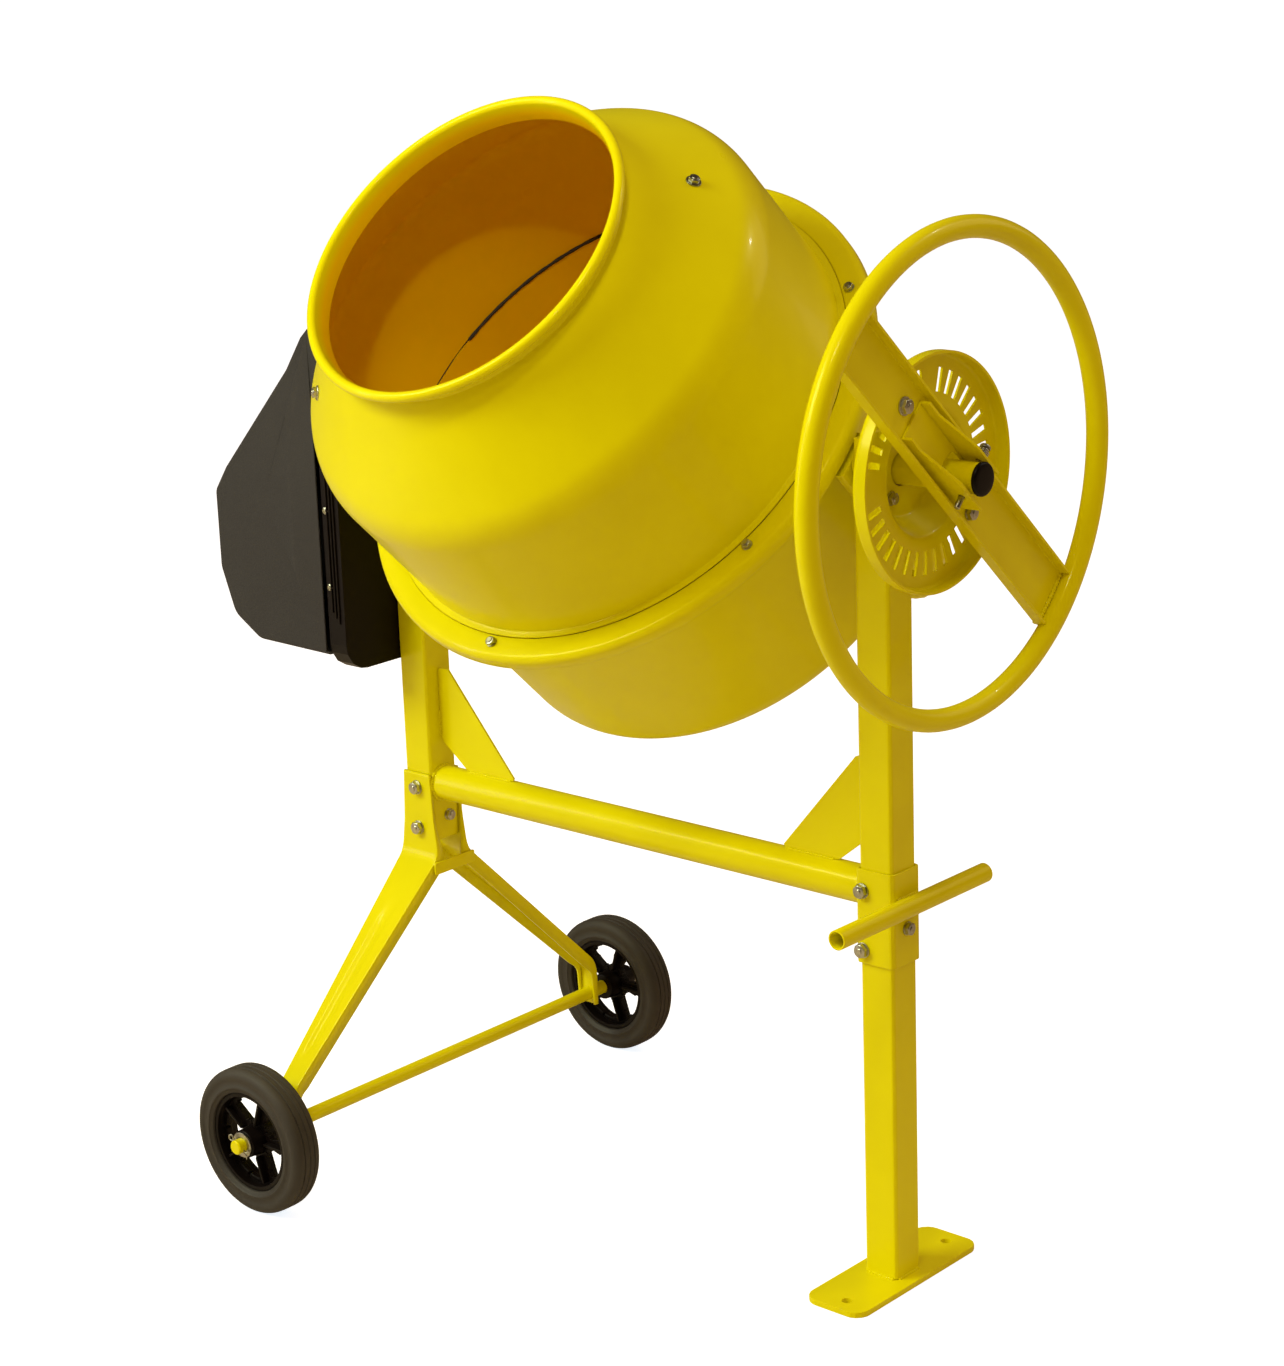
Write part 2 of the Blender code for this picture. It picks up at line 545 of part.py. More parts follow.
# ---------------------------------------------------------------- cradle
def build_cradle(cradle):
    corner_x, corner_z = ARM_X - ARM_BEND, ARM_BOTTOM + ARM_BEND
    path = [(-ARM_X, 0, ARM_TOP), (-ARM_X, 0, -0.08), (-ARM_X, 0, corner_z)]
    path += [(x, 0, z) for x, z in arc(-corner_x, corner_z, ARM_BEND, 180, 270, 6)[1:]]
    path += [(x, 0, z) for x, z in arc(corner_x, corner_z, ARM_BEND, 270, 360, 6)]
    path += [(ARM_X, 0, -0.08), (ARM_X, 0, ARM_TOP)]
    section = rounded_box(ARM_WIDTH, ARM_THICKNESS, 4 * MM, 2)
    arm = add_piece("cradle_arm", swept(path, [section] * len(path), (0, 1, 0)), "yellow_paint", cradle)
    cut(arm, rod(0.0103, -0.02, 0.02), cradle, (0, 0, ARM_BOTTOM))
    cut(arm, rod(0.0083, -0.02, 0.02), cradle, (-ARM_X, 0, 0), ALONG_X)

    root = ARM_X + ARM_THICKNESS / 2 + GAP
    add_piece("left_trunnion", pipe(TRUNNION_RADIUS, 8 * MM, -0.349, -root), "yellow_paint", cradle,
              rotation=ALONG_X)
    tube = add_piece("right_trunnion", pipe(TRUNNION_RADIUS, 11.5 * MM, root, TRUNNION_END), "yellow_paint",
                     cradle, rotation=ALONG_X)
    cut(tube, rod(3.3 * MM, -0.03, 0.03, 16), cradle, (PIN_X, 0, 0), ALONG_Y)
    plug, brim, under = 11 * MM, 16.4 * MM, TRUNNION_END + GAP
    cap = [(0, under - 5 * MM), (plug, under - 5 * MM), (plug, under), (brim, under),
           (brim, CAP_END - 1.5 * MM), (brim - 1.4 * MM, CAP_END), (0, CAP_END)]
    add_piece("axle_end_cap", turned(cap, 20), "black_plastic", cradle, rotation=ALONG_X)
    shank, head = 3 * MM, 5.5 * MM
    pin = [(0, -0.034), (shank, -0.034), (shank, 0.0325), (head, 0.0325), (head, 0.0365), (0, 0.0365)]
    add_piece("pivot_pin", turned(pin, 16), "zinc_plate", cradle, (PIN_X, 0, 0), ALONG_Y)

    bar_low = ARM_BOTTOM - ARM_THICKNESS / 2
    stud, journal, top, stud_end = 8 * MM, 10 * MM, -0.154, bar_low - 16 * MM
    axle = [(0, stud_end), (stud, stud_end), (stud, bar_low - GAP), (journal, bar_low - GAP),
            (journal, top), (0, top)]
    add_piece("drum_axle", turned(axle, 20), "bright_steel", cradle)
    nut = pipe(0.0150, 9.6 * MM, bar_low - 12 * MM, bar_low - 2 * GAP, 6)
    add_piece("drum_axle_nut", nut, "zinc_plate", cradle, sharp=20)
    bush = pipe(7.7 * MM, SHAFT_RADIUS + GAP, -0.347, -0.2815, 20)
    add_piece("pinion_bush", bush, "bearing_bronze", cradle, rotation=ALONG_X)


# ---------------------------------------------------------------- drum
def lower_wall(inset, steps):
    """The lower drum's wall line, from the hub hole to the seam, moved inwards by inset."""
    corner_r, corner_z = DRUM_RADIUS - BOTTOM_ROUNDING, DRUM_BOTTOM + BOTTOM_ROUNDING
    bend = arc(corner_r, corner_z, BOTTOM_ROUNDING - inset, -90, 0, steps)
    return [(0.0348, DRUM_BOTTOM + inset)] + bend


def upper_wall(inset, steps):
    """The upper drum's wall line, from the seam to the neck, moved inwards by inset."""
    slope = (DRUM_RADIUS - NECK_RADIUS) / (NECK_START - SHOULDER)
    turn = np.degrees(np.arctan(slope))
    reach = SHOULDER_ROUNDING * tan(radians(turn / 2))
    bend = arc(DRUM_RADIUS - SHOULDER_ROUNDING, SHOULDER - reach, SHOULDER_ROUNDING - inset, 0, turn, steps)
    return bend + [(NECK_RADIUS - inset * 0.8, NECK_START - inset * 0.4)]


def build_drum(drum):
    flange_low, flange_high = 0.0323, 0.0343
    outer, inner = lower_wall(0, 3), lower_wall(DRUM_WALL, 3)
    profile = outer + [(DRUM_RADIUS, flange_low), (0.2820, flange_low), (0.2820, flange_high),
                       (DRUM_RADIUS - DRUM_WALL, flange_high)] + inner[::-1]
    add_piece("lower_drum", turned(profile), "yellow_paint", drum)

    seal_high = flange_high + GAP + 1.2 * MM
    foot = seal_high + GAP
    inner_r = DRUM_RADIUS - 2 * MM
    outer, inner = upper_wall(0, 3), upper_wall(2 * MM, 3)
    bead = arc(RIM_RADIUS, RIM_HEIGHT, RIM_BEAD, -130, 180, 6)
    profile = [(inner_r, foot), (0.2640, foot), (0.2640, foot + 1.5 * MM), (DRUM_RADIUS, foot + 1.5 * MM)]
    profile += outer + [(NECK_RADIUS, 0.308)] + bead + [(NECK_RADIUS - 1.6 * MM, 0.306)] + inner[::-1]
    add_piece("upper_drum", turned(profile), "yellow_paint", drum)
    add_piece("drum_seal", pipe(0.2640, 0.2560, flange_high + GAP, seal_high, 32), "black_rubber", drum)

    low = flange_high + GAP
    high = low + 1.8 * MM
    guard = [(0.2645, low), (0.2830, low)] + arc(0.2830, low - 5.5 * MM, 5.5 * MM, 90, 0, 3)[1:]
    guard += [(0.2885, 0.0195), (0.2903, 0.0195)]
    guard += arc(0.2830, low - 5.5 * MM, 7.3 * MM, 0, 90, 3) + [(0.2645, high)]
    add_piece("ring_guard", turned(guard), "yellow_paint", drum)

    build_gear_ring(drum)
    build_blades(drum)
    bearing_bore = 0.0190
    housing = [(bearing_bore + GAP, -0.2070), (0.0345, -0.2070), (0.0345, -0.1986), (0.058, -0.1986),
               (0.058, -0.1953), (0.0345, -0.1953), (0.0345, -0.150), (0.028, -0.143), (0, -0.143),
               (0, -0.150), (bearing_bore + GAP, -0.150)]
    add_piece("drum_bearing_housing", turned(housing, 24), "cast_iron", drum)
    for low, name in ((-0.2060, "lower_drum_bearing"), (-0.168, "upper_drum_bearing")):
        add_piece(name, pipe(bearing_bore, 0.0103, low, low + 0.012), "bright_steel", drum)


def build_gear_ring(drum):
    """Crown gear: straight radial teeth pointing down from a flat ring."""
    root, back = PITCH_HEIGHT + 4 * MM, 0.0320
    tip = PITCH_HEIGHT - 3.2 * MM
    root_half, tip_half, half_face = 2.8 * MM, 1.3 * MM, 9 * MM
    vertices, faces = [], []
    for k in range(RING_TEETH):
        turn = 2 * pi * k / RING_TEETH
        for radius in (RING_PITCH_RADIUS - half_face, RING_PITCH_RADIUS + half_face):
            for half, z in ((-root_half, root), (-tip_half, tip), (tip_half, tip), (root_half, root)):
                along = half / radius
                vertices.append((radius * cos(turn + along), radius * sin(turn + along), z))
            vertices.append((radius * cos(turn), radius * sin(turn), back))
    per = 10
    for k in range(RING_TEETH):
        i, j = k * per, ((k + 1) % RING_TEETH) * per        # this tooth and the next
        o, p = i + 5, j + 5
        faces += [(i + n, i + n + 1, o + n + 1, o + n) for n in range(3)]
        faces += [(i + 3, j, p, o + 3), (i + 4, o + 4, p + 4, j + 4)]
        faces += [(i, i + 4, i + 3, i + 2, i + 1), (o, o + 1, o + 2, o + 3, o + 4)]
        faces += [(i + 3, i + 4, j + 4, j), (o + 3, p, p + 4, o + 4)]
    add_piece("gear_ring", (vertices, faces), "cast_iron", drum, sharp=20)


def build_blades(drum):
    """Two curved mixing blades, a plate that climbs the wall while it turns."""
    rows, thick, reach = 13, 5 * MM, 0.080
    for name, start in (("mixing_blade_left", radians(200)), ("mixing_blade_right", radians(20))):
        s = np.linspace(0, 1, rows)
        height = -0.150 + 0.300 * s
        turn = start + radians(62) * s
        outer = np.full(rows, DRUM_RADIUS - DRUM_WALL - 4 * MM)
        inner = outer - 0.012 - reach * np.sin(pi * np.clip(s * 0.9 + 0.05, 0, 1)) ** 0.7
        rings = []
        for z, angle, far, near in zip(height, turn, outer, inner):
            for radius, shift in ((far, -thick), (near, -thick), (near, thick), (far, thick)):
                a = angle + shift / 2 / radius
                rings.append((radius * cos(a), radius * sin(a), z))
        faces = [(3, 2, 1, 0), tuple(4 * (rows - 1) + k for k in range(4))]
        for i in range(rows - 1):
            for k in range(4):
                m = (k + 1) % 4
                faces.append((4 * i + k, 4 * i + m, 4 * i + 4 + m, 4 * i + 4 + k))
        add_piece(name, (rings, faces), "yellow_paint", drum)


# ---------------------------------------------------------------- pinion and pulley
def build_pinion(pinion_frame):
    pitch = PINION_TEETH * MODULE / 2
    root, tip = pitch - 4.2 * MM, pitch + 3.2 * MM
    root_half, tip_half = 2.9 * MM, 1.2 * MM
    outline = []
    for k in range(PINION_TEETH):
        turn = 2 * pi * k / PINION_TEETH      # a gap points up, a tooth points down
        for half, radius in ((-root_half, root), (-tip_half, tip), (tip_half, tip), (root_half, root)):
            along = half / radius
            outline.append((radius * cos(turn + along), radius * sin(turn + along)))
    eye = SHAFT_RADIUS + GAP
    bore = [(eye * cos(a), eye * sin(a))
            for a in np.arctan2([b for _, b in outline], [a for a, _ in outline])]
    add_piece("pinion", hollow_prism(outline, bore, -0.0075, 0.0075), "cast_iron", pinion_frame,
              (-0.2700, 0, 0), ALONG_X, 20)
    shaft = [(0, -0.3680), (SHAFT_RADIUS, -0.3680), (SHAFT_RADIUS, -0.2610), (0, -0.2610)]
    add_piece("pinion_shaft", turned(shaft, 20), "bright_steel", pinion_frame, rotation=ALONG_X)
    add_piece("drive_pulley", pulley(BIG_PULLEY_RADIUS, SHAFT_RADIUS + GAP, 36), "cast_iron", pinion_frame,
              (PULLEY_X, 0, 0), ALONG_X)


# ---------------------------------------------------------------- handwheel
def build_handwheel(wheel):
    back = -PIN_X                   # the frame's origin is on the pivot pin
    ring_steps, tube_steps = 40, 8
    angles = np.linspace(0, 2 * pi, tube_steps, endpoint=False)
    tube = [(WHEEL_RADIUS + WHEEL_TUBE * cos(a), WHEEL_TUBE * sin(a)) for a in angles]
    add_piece("handwheel_ring", turned(tube, ring_steps), "yellow_paint", wheel, (WHEEL_X + back, 0, 0),
              ALONG_X, 60)

    half, wall, depth = SPOKE_WIDTH / 2, 3 * MM, 13.5 * MM
    low = SPOKE_WEB_X - wall / 2 + back
    channel = [(-half, 0), (half, 0), (half, depth), (half - wall, depth), (half - wall, wall),
               (-half + wall, wall), (-half + wall, depth), (-half, depth)]
    reach = sqrt((WHEEL_RADIUS - WHEEL_TUBE) ** 2 - half ** 2) - GAP
    lay = Matrix(((0, 1, 0, low), (1, 0, 0, 0), (0, 0, 1, 0), (0, 0, 0, 1)))
    spoke = add_piece("handwheel_spoke", moved(prism(channel, -reach, reach), lay), "yellow_paint", wheel)
    cut(spoke, prism(rounded_box(0.050, 0.036, 16 * MM, 4), -0.02, 0.02), wheel, (SPOKE_WEB_X + back, 0, 0),
        ALONG_X)

    ear_in, ear_out, base = 0.0185, 0.0215, 2.5 * MM
    floor = low + wall + GAP
    section = [(-ear_out, 0), (ear_out, 0), (ear_out, EAR_HEIGHT), (ear_in, EAR_HEIGHT), (ear_in, base),
               (-ear_in, base), (-ear_in, EAR_HEIGHT), (-ear_out, EAR_HEIGHT)]
    lay = Matrix(((0, 1, 0, floor), (1, 0, 0, 0), (0, 0, 1, 0), (0, 0, 0, 1)))
    bracket = add_piece("hub_bracket", moved(prism(section, -0.022, 0.092), lay), "yellow_paint", wheel)
    wedge = Matrix(((1, 0, 0, floor + EAR_HEIGHT), (0, 0, 1, 0), (0, 1, 0, 0), (0, 0, 0, 1)))
    # the ears taper off away from the pin
    slope = [(0, 0.022), (0.020, 0.022), (0.020, 0.100), (-0.018, 0.100), (-0.018, 0.072)]
    cut(bracket, moved(prism(slope, -0.03, 0.03), wedge), wheel)
    cut(bracket, prism(rounded_box(0.050, 0.0345, 16 * MM, 4), -0.005, 0.005), wheel, (floor + 1 * MM, 0, 0),
        ALONG_X)
    cut(bracket, rod(3.3 * MM, -0.04, 0.04, 16), wheel, rotation=ALONG_Y)

    tooth_tip = DISC_X + 1.5 * MM + 0.6 * MM + back
    tooth = prism(rounded_box(0.018, 5 * MM, 1 * MM, 1), tooth_tip, low - GAP)
    place = Matrix.Translation((0, 0, SLOT_RADIUS)) @ Matrix.Rotation(pi / 2, 4, "Y")
    add_piece("lock_tooth", moved(tooth, place), "zinc_plate", wheel)

    turns, wire, coil, sides, per_turn = 4, 0.8 * MM, 5.2 * MM, 5, 8
    count = turns * per_turn + 1
    rings, faces = [], []
    for i in range(count):
        turn = 2 * pi * i / per_turn
        lift = 0.0232 + 2 * wire * 1.15 * i / per_turn
        for k in range(sides):
            a = 2 * pi * k / sides
            radius = coil + wire * cos(a)
            rings.append((radius * cos(turn), radius * sin(turn), lift + wire * sin(a)))
    for i in range(count - 1):
        for k in range(sides):
            m = (k + 1) % sides
            faces.append((sides * i + k, sides * i + m, sides * (i + 1) + m, sides * (i + 1) + k))
    faces += [tuple(range(sides))[::-1], tuple(range(sides * (count - 1), sides * count))]
    add_piece("lock_spring", (rings, faces), "bright_steel", wheel, rotation=ALONG_Y, sharp=60)


def main():
    clear_scene()
    frame_empty("machine_frame", None, (MACHINE_X, MACHINE_Y, 0))
    build_posts()
    build_foot_and_handle()
    build_crossbar()
    build_wheel_legs()
    build_road_wheels()
    build_locking_disc()
    build_frame_bolts()
    build_housing()
    build_motor()
    build_belt()
    build_switch()
    cradle = frame_empty("cradle_frame", None, (0, 0, AXIS_HEIGHT), (TILT, 0, 0))
    build_cradle(cradle)
    build_drum(frame_empty("drum_frame", cradle))
    build_pinion(frame_empty("pinion_frame", cradle))
    build_handwheel(frame_empty("handwheel_frame", cradle, (PIN_X, 0, 0)))


main()
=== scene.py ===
# %% [markdown]
# # A concrete mixer, dressed from its CAD frame
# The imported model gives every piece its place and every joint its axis. This lesson puts finer surfaces
# over the pieces that are seen, leaves the hidden ones as they are, and gives each of them a finish made
# from nodes. A finer piece could be sculpted by hand, but each one here is a pressed, turned or bent part,
# so a short formula on a grid of points gives a cleaner shape and can be changed with one number.

# %% Load the frame
import json

import bmesh
import bpy
import numpy as np
from mathutils import Matrix, Vector


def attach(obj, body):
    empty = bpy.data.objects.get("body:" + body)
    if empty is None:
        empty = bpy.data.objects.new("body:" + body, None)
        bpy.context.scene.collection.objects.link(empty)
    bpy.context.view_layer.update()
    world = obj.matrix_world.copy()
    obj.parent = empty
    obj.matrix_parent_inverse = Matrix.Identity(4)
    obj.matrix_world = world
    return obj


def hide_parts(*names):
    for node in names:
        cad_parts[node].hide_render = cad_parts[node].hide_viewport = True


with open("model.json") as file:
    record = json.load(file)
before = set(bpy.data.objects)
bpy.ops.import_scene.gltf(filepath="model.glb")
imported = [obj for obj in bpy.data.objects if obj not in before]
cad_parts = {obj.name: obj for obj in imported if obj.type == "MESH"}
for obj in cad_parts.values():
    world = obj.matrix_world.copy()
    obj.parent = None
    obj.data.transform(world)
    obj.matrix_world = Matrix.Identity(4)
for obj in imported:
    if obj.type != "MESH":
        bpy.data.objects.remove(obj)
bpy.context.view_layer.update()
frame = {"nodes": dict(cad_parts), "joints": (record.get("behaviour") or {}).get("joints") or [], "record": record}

# %% [markdown]
# ## Where things are
# The stand is upright and the drum leans, so two sets of axes are enough. The tilt joint gives the middle
# of the first and the spin joint's axis gives the lean of the second. Lengths in brackets below are in
# the piece's own axes, in millimetres where MM stands beside them.

# %% Axes of the stand and of the cradle
MM = 0.001
joints = {joint["name"]: joint for joint in frame["joints"]}
TILT_CENTRE = np.array(joints["cradle_tilt"]["pos_m"])
GROUND = np.array([TILT_CENTRE[0], TILT_CENTRE[1], 0.0])
DRUM_AXIS = np.array(joints["drum_spin"]["axis"])
LEAN = np.array([[1, 0, 0], [0, DRUM_AXIS[2], DRUM_AXIS[1]], [0, -DRUM_AXIS[1], DRUM_AXIS[2]]])
AXIS_HEIGHT = TILT_CENTRE[2]
POST_X = 0.3185
HALF_POST = 0.020
GAP = 0.3 * MM
ALONG_X = np.array([[0, 0, 1], [0, 1, 0], [-1, 0, 0]])      # turns a piece's Z to +X
ALONG_Y = np.array([[1, 0, 0], [0, 0, 1], [0, -1, 0]])      # turns a piece's Z to +Y
print("tilt axis at", TILT_CENTRE.round(4), "drum axis", DRUM_AXIS.round(3))

# %% [markdown]
# ## Surfaces from formulas
# A shape here is a pair: an array of points and an array of four-cornered faces. One helper numbers the
# faces of a grid, one turns a profile, one rounds corners, and one raises an outline. Everything else in
# the lesson is made of these four.

# %% Grids, rounded lines, turned and raised shapes
def grid(points, wrap_rows=False, wrap_columns=True, keep=None):
    """A surface through rows and columns of points; keep says which faces stay, to leave windows open."""
    rows, columns = points.shape[:2]
    r = np.arange(rows if wrap_rows else rows - 1)[:, None]
    c = np.arange(columns if wrap_columns else columns - 1)[None, :]
    below, beside = (r + 1) % rows, (c + 1) % columns
    faces = np.stack([r * columns + c, r * columns + beside, below * columns + beside, below * columns + c],
                     -1)
    faces = faces[keep] if keep is not None else faces.reshape(-1, 4)
    return points.reshape(-1, 3), faces


def rounded(corners, radii, steps=4):
    """A closed line whose corners become arcs: each centre lies on the corner's bisector, radius / sin(half
    the angle) away, and the arc is the line between the two touching points, pushed out to the radius."""
    corners = np.array(corners, float)
    radii = np.broadcast_to(np.array(radii, float), len(corners))[:, None]
    unit = [side / np.linalg.norm(side, axis=1, keepdims=True)
            for side in (np.roll(corners, 1, 0) - corners, np.roll(corners, -1, 0) - corners)]
    half = np.arccos(np.clip((unit[0] * unit[1]).sum(1, keepdims=True), -1, 0.999999)) / 2
    bisector = unit[0] + unit[1]
    bisector /= np.maximum(np.linalg.norm(bisector, axis=1, keepdims=True), 1e-9)
    to_centre = bisector * radii / np.sin(half)
    touch = [side * radii / np.tan(half) - to_centre for side in unit]
    share = np.linspace(0, 1, steps + 1)[None, :, None]
    spoke = touch[0][:, None] * (1 - share) + touch[1][:, None] * share
    spoke *= radii[:, None] / np.maximum(np.linalg.norm(spoke, axis=2, keepdims=True), 1e-12)
    return ((corners + to_centre)[:, None] + spoke).reshape(-1, 2)


def turned(profile, steps=128, closed=True):
    """A profile of (radius, height) carried round Z: x = r cos t, y = r sin t, z = height."""
    profile = np.array(profile, float)
    t = np.linspace(0, 2 * np.pi, steps, endpoint=False)
    points = np.stack([profile[:, :1] * np.cos(t), profile[:, :1] * np.sin(t),
                       np.repeat(profile[:, 1:], steps, 1)], -1)
    return grid(points, wrap_rows=closed)


def raised(outline, insets, heights, closed=False):
    """An anticlockwise outline moved inwards along its own normal by each inset and lifted to each height;
    when it isn't a closed wall, both ends are drawn in to their middle."""
    outline = np.array(outline, float)
    along = np.roll(outline, -1, 0) - np.roll(outline, 1, 0)
    normal = np.stack([along[:, 1], -along[:, 0]], 1)
    normal /= np.linalg.norm(normal, axis=1, keepdims=True)
    insets, heights = np.array(insets, float), np.array(heights, float)
    flat = outline[None] - normal[None] * insets[:, None, None]
    if not closed:
        middle = np.broadcast_to(outline.mean(0), (1, *outline.shape))
        flat = np.concatenate([middle, flat, middle])
        heights = np.concatenate([heights[:1], heights, heights[-1:]])
    lift = np.broadcast_to(heights[:, None, None], (*flat.shape[:2], 1))
    return grid(np.concatenate([flat, lift], -1), wrap_rows=closed)


def slab(outline, low, high, soft, steps=3):
    """A raised outline whose two edges are quarter rounds: inset = soft (1 - sin a) and
    height = soft (1 - cos a), with a from 0 to 90 degrees."""
    a = np.linspace(0, np.pi / 2, steps + 1)
    inset, rise = soft * (1 - np.sin(a)), soft * (1 - np.cos(a))
    return raised(outline, np.concatenate([inset, inset[::-1]]),
                  np.concatenate([low + rise, (high - rise)[::-1]]))


def rectangle(width, depth, radius, steps=4, centre=(0, 0)):
    """A rounded rectangle, anticlockwise."""
    a, b = width / 2, depth / 2
    corners = np.array([(-a, -b), (a, -b), (a, b), (-a, b)]) + centre
    return rounded(corners, radius, steps)


def placed(shape, turn=np.eye(3), shift=(0, 0, 0)):
    """A shape turned by a 3 by 3 array, then shifted."""
    return shape[0] @ np.array(turn, float).T + np.array(shift, float), shape[1]


def together(*shapes):
    """Several shapes as one, each face's numbers raised by the points before it."""
    starts = np.cumsum([0] + [len(points) for points, _ in shapes[:-1]])
    return (np.concatenate([points for points, _ in shapes]),
            np.concatenate([faces + start for (_, faces), start in zip(shapes, starts)]))


def in_stand(shape):
    """From the stand's axes, with Z up from the ground under the tilt axis, to the frame."""
    return placed(shape, shift=GROUND)


def in_cradle(shape):
    """From the cradle's axes, with Z along the drum, to the frame."""
    return placed(shape, LEAN, TILT_CENTRE)


print("helpers ready")

# %% [markdown]
# ## From a shape to a piece
# Points that meet are merged, so seams and poles close, and the normals are worked out again on what is
# then one closed skin. A sheet that is still open can't tell its outside by itself, so it is given a point
# that its faces look away from. The piece then rides on its body and stands in for its CAD nodes.

# %% Make pieces
SLOT_OF = {row["node"]: row["material_slot"] for row in frame["record"]["subparts"]}
finishes = {}


def piece(name, shape, body, slot, stands_for=(), away_from=None, sharp=38, finish=None):
    """One object at the origin, with its place in its mesh."""
    points, faces = shape
    mesh = bpy.data.meshes.new(name)
    mesh.from_pydata(points.tolist(), [], faces.tolist())
    work = bmesh.new()
    work.from_mesh(mesh)
    bmesh.ops.remove_doubles(work, verts=work.verts, dist=2e-6)
    bmesh.ops.recalc_face_normals(work, faces=work.faces)
    if away_from is not None:
        centre = Vector(away_from)
        if sum(f.calc_area() * f.normal.dot(f.calc_center_median() - centre) for f in work.faces) < 0:
            bmesh.ops.reverse_faces(work, faces=work.faces)
    work.to_mesh(mesh)
    work.free()
    mesh.shade_smooth()
    mesh.set_sharp_from_angle(angle=np.radians(sharp))
    made = bpy.data.objects.new(name, mesh)
    bpy.context.scene.collection.objects.link(made)
    mesh.materials.append(finishes[finish or slot])
    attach(made, body)
    if stands_for:
        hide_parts(*([stands_for] if isinstance(stands_for, str) else stands_for))
    print(f"{name}: {len(mesh.polygons)} faces")
    return made


def mark_painted_shade(made, height, every=False):
    """Mark painted shade on a drum piece: its points get a value that is 1 where the normal looks towards the
    middle of the drum, normal . (point - middle) < 0, below a height on the drum's axis, else 0; every marks them
    all.
    The drum is yellow inside too; the orange laid where this is 1 paints the shade inside the drum."""
    mesh = made.data
    at, normal = np.empty(len(mesh.vertices) * 3), np.empty(len(mesh.vertices) * 3)
    mesh.vertices.foreach_get("co", at)
    mesh.vertices.foreach_get("normal", normal)
    at = at.reshape(-1, 3) - TILT_CENTRE
    inner = ((normal.reshape(-1, 3) * at).sum(1) < 0) & (at @ DRUM_AXIS < height) | every
    mesh.attributes.new("painted_shade", "FLOAT", "POINT").data.foreach_set("value", inner.astype(np.float32))
    return made


def thicken(made, thickness, offset=-1.0):
    """Give a sheet its wall."""
    wall = made.modifiers.new("wall", "SOLIDIFY")
    wall.thickness, wall.offset, wall.use_even_offset = thickness, offset, True
    return made


def soften(made, width, segments=2, weld=False):
    """Round off an object's sharp edges."""
    if weld:
        made.modifiers.new("weld", "WELD").merge_threshold = 2e-6
    edge = made.modifiers.new("edges", "BEVEL")
    edge.width, edge.segments, edge.limit_method, edge.angle_limit = width, segments, "ANGLE", np.radians(32)
    edge.use_clamp_overlap = True
    edge.harden_normals = True
    return made


print("slots:", len(set(SLOT_OF.values())))

# %% [markdown]
# ## Surface effects shared by the finishes
# Powder paint has a faint orange-peel skin, plastics have a moulded grain, and everything is a little
# rubbed where two faces meet. Each effect is a node group, so one drawing of it serves every finish. The
# rubbed edge compares the true normal with the one a small rounding would give: where they differ, there
# is an edge.

# %% Node groups
def group(name, inputs, outputs):
    """An empty shader group with float inputs and outputs; returns it with its two end nodes."""
    tree = bpy.data.node_groups.new(name, "ShaderNodeTree")
    for title, default in inputs.items():
        tree.interface.new_socket(title, in_out="INPUT",
                                  socket_type="NodeSocketFloat").default_value = default
    for title in outputs:
        tree.interface.new_socket(title, in_out="OUTPUT", socket_type="NodeSocketFloat")
    return tree, tree.nodes.new("NodeGroupInput"), tree.nodes.new("NodeGroupOutput")


def add(tree, kind, links=None, **settings):
    """A node with its settings, and its inputs either linked or set."""
    node = tree.nodes.new(kind)
    for key, value in settings.items():
        setattr(node, key, value)
    for key, value in (links or {}).items():
        if isinstance(value, bpy.types.NodeSocket):
            tree.links.new(value, node.inputs[key])
        else:
            node.inputs[key].default_value = value
    return node


def ramp(tree, fac, low, high, out_low=0.0, out_high=1.0):
    """A value carried from low..high to out_low..out_high and held there."""
    node = add(tree, "ShaderNodeMapRange", {"Value": fac, "From Min": low, "From Max": high,
                                            "To Min": out_low, "To Max": out_high})
    return node.outputs["Result"]


def noise(tree, scale, detail=2.0, roughness=0.5, stretch=None):
    """Noise in the piece's own axes, a scale of s has lumps about 1/s metres across."""
    where = add(tree, "ShaderNodeTexCoord").outputs["Object"]
    if stretch:
        where = add(tree, "ShaderNodeMapping", {"Vector": where, "Scale": stretch}).outputs["Vector"]
    return add(tree, "ShaderNodeTexNoise", {"Vector": where, "Scale": scale, "Detail": detail,
                                            "Roughness": roughness}).outputs["Fac"]


edge_wear, ends_in, ends_out = group("edge_wear", {"Radius": 0.0015, "Amount": 0.5}, ["Mask"])
soft_normal = add(edge_wear, "ShaderNodeBevel", {"Radius": ends_in.outputs["Radius"]}, samples=4)
true_normal = add(edge_wear, "ShaderNodeNewGeometry").outputs["Normal"]
alike = add(edge_wear, "ShaderNodeVectorMath", {0: soft_normal.outputs["Normal"], 1: true_normal},
            operation="DOT_PRODUCT").outputs["Value"]
rubbed = ramp(edge_wear, alike, 0.985, 0.80)
broken = ramp(edge_wear, noise(edge_wear, 90, 4, 0.6), 0.42, 0.62)
both = add(edge_wear, "ShaderNodeMath", {0: rubbed, 1: broken}, operation="MULTIPLY").outputs[0]
amount = add(edge_wear, "ShaderNodeMath", {0: both, 1: ends_in.outputs["Amount"]},
             operation="MULTIPLY").outputs[0]
edge_wear.links.new(amount, ends_out.inputs["Mask"])

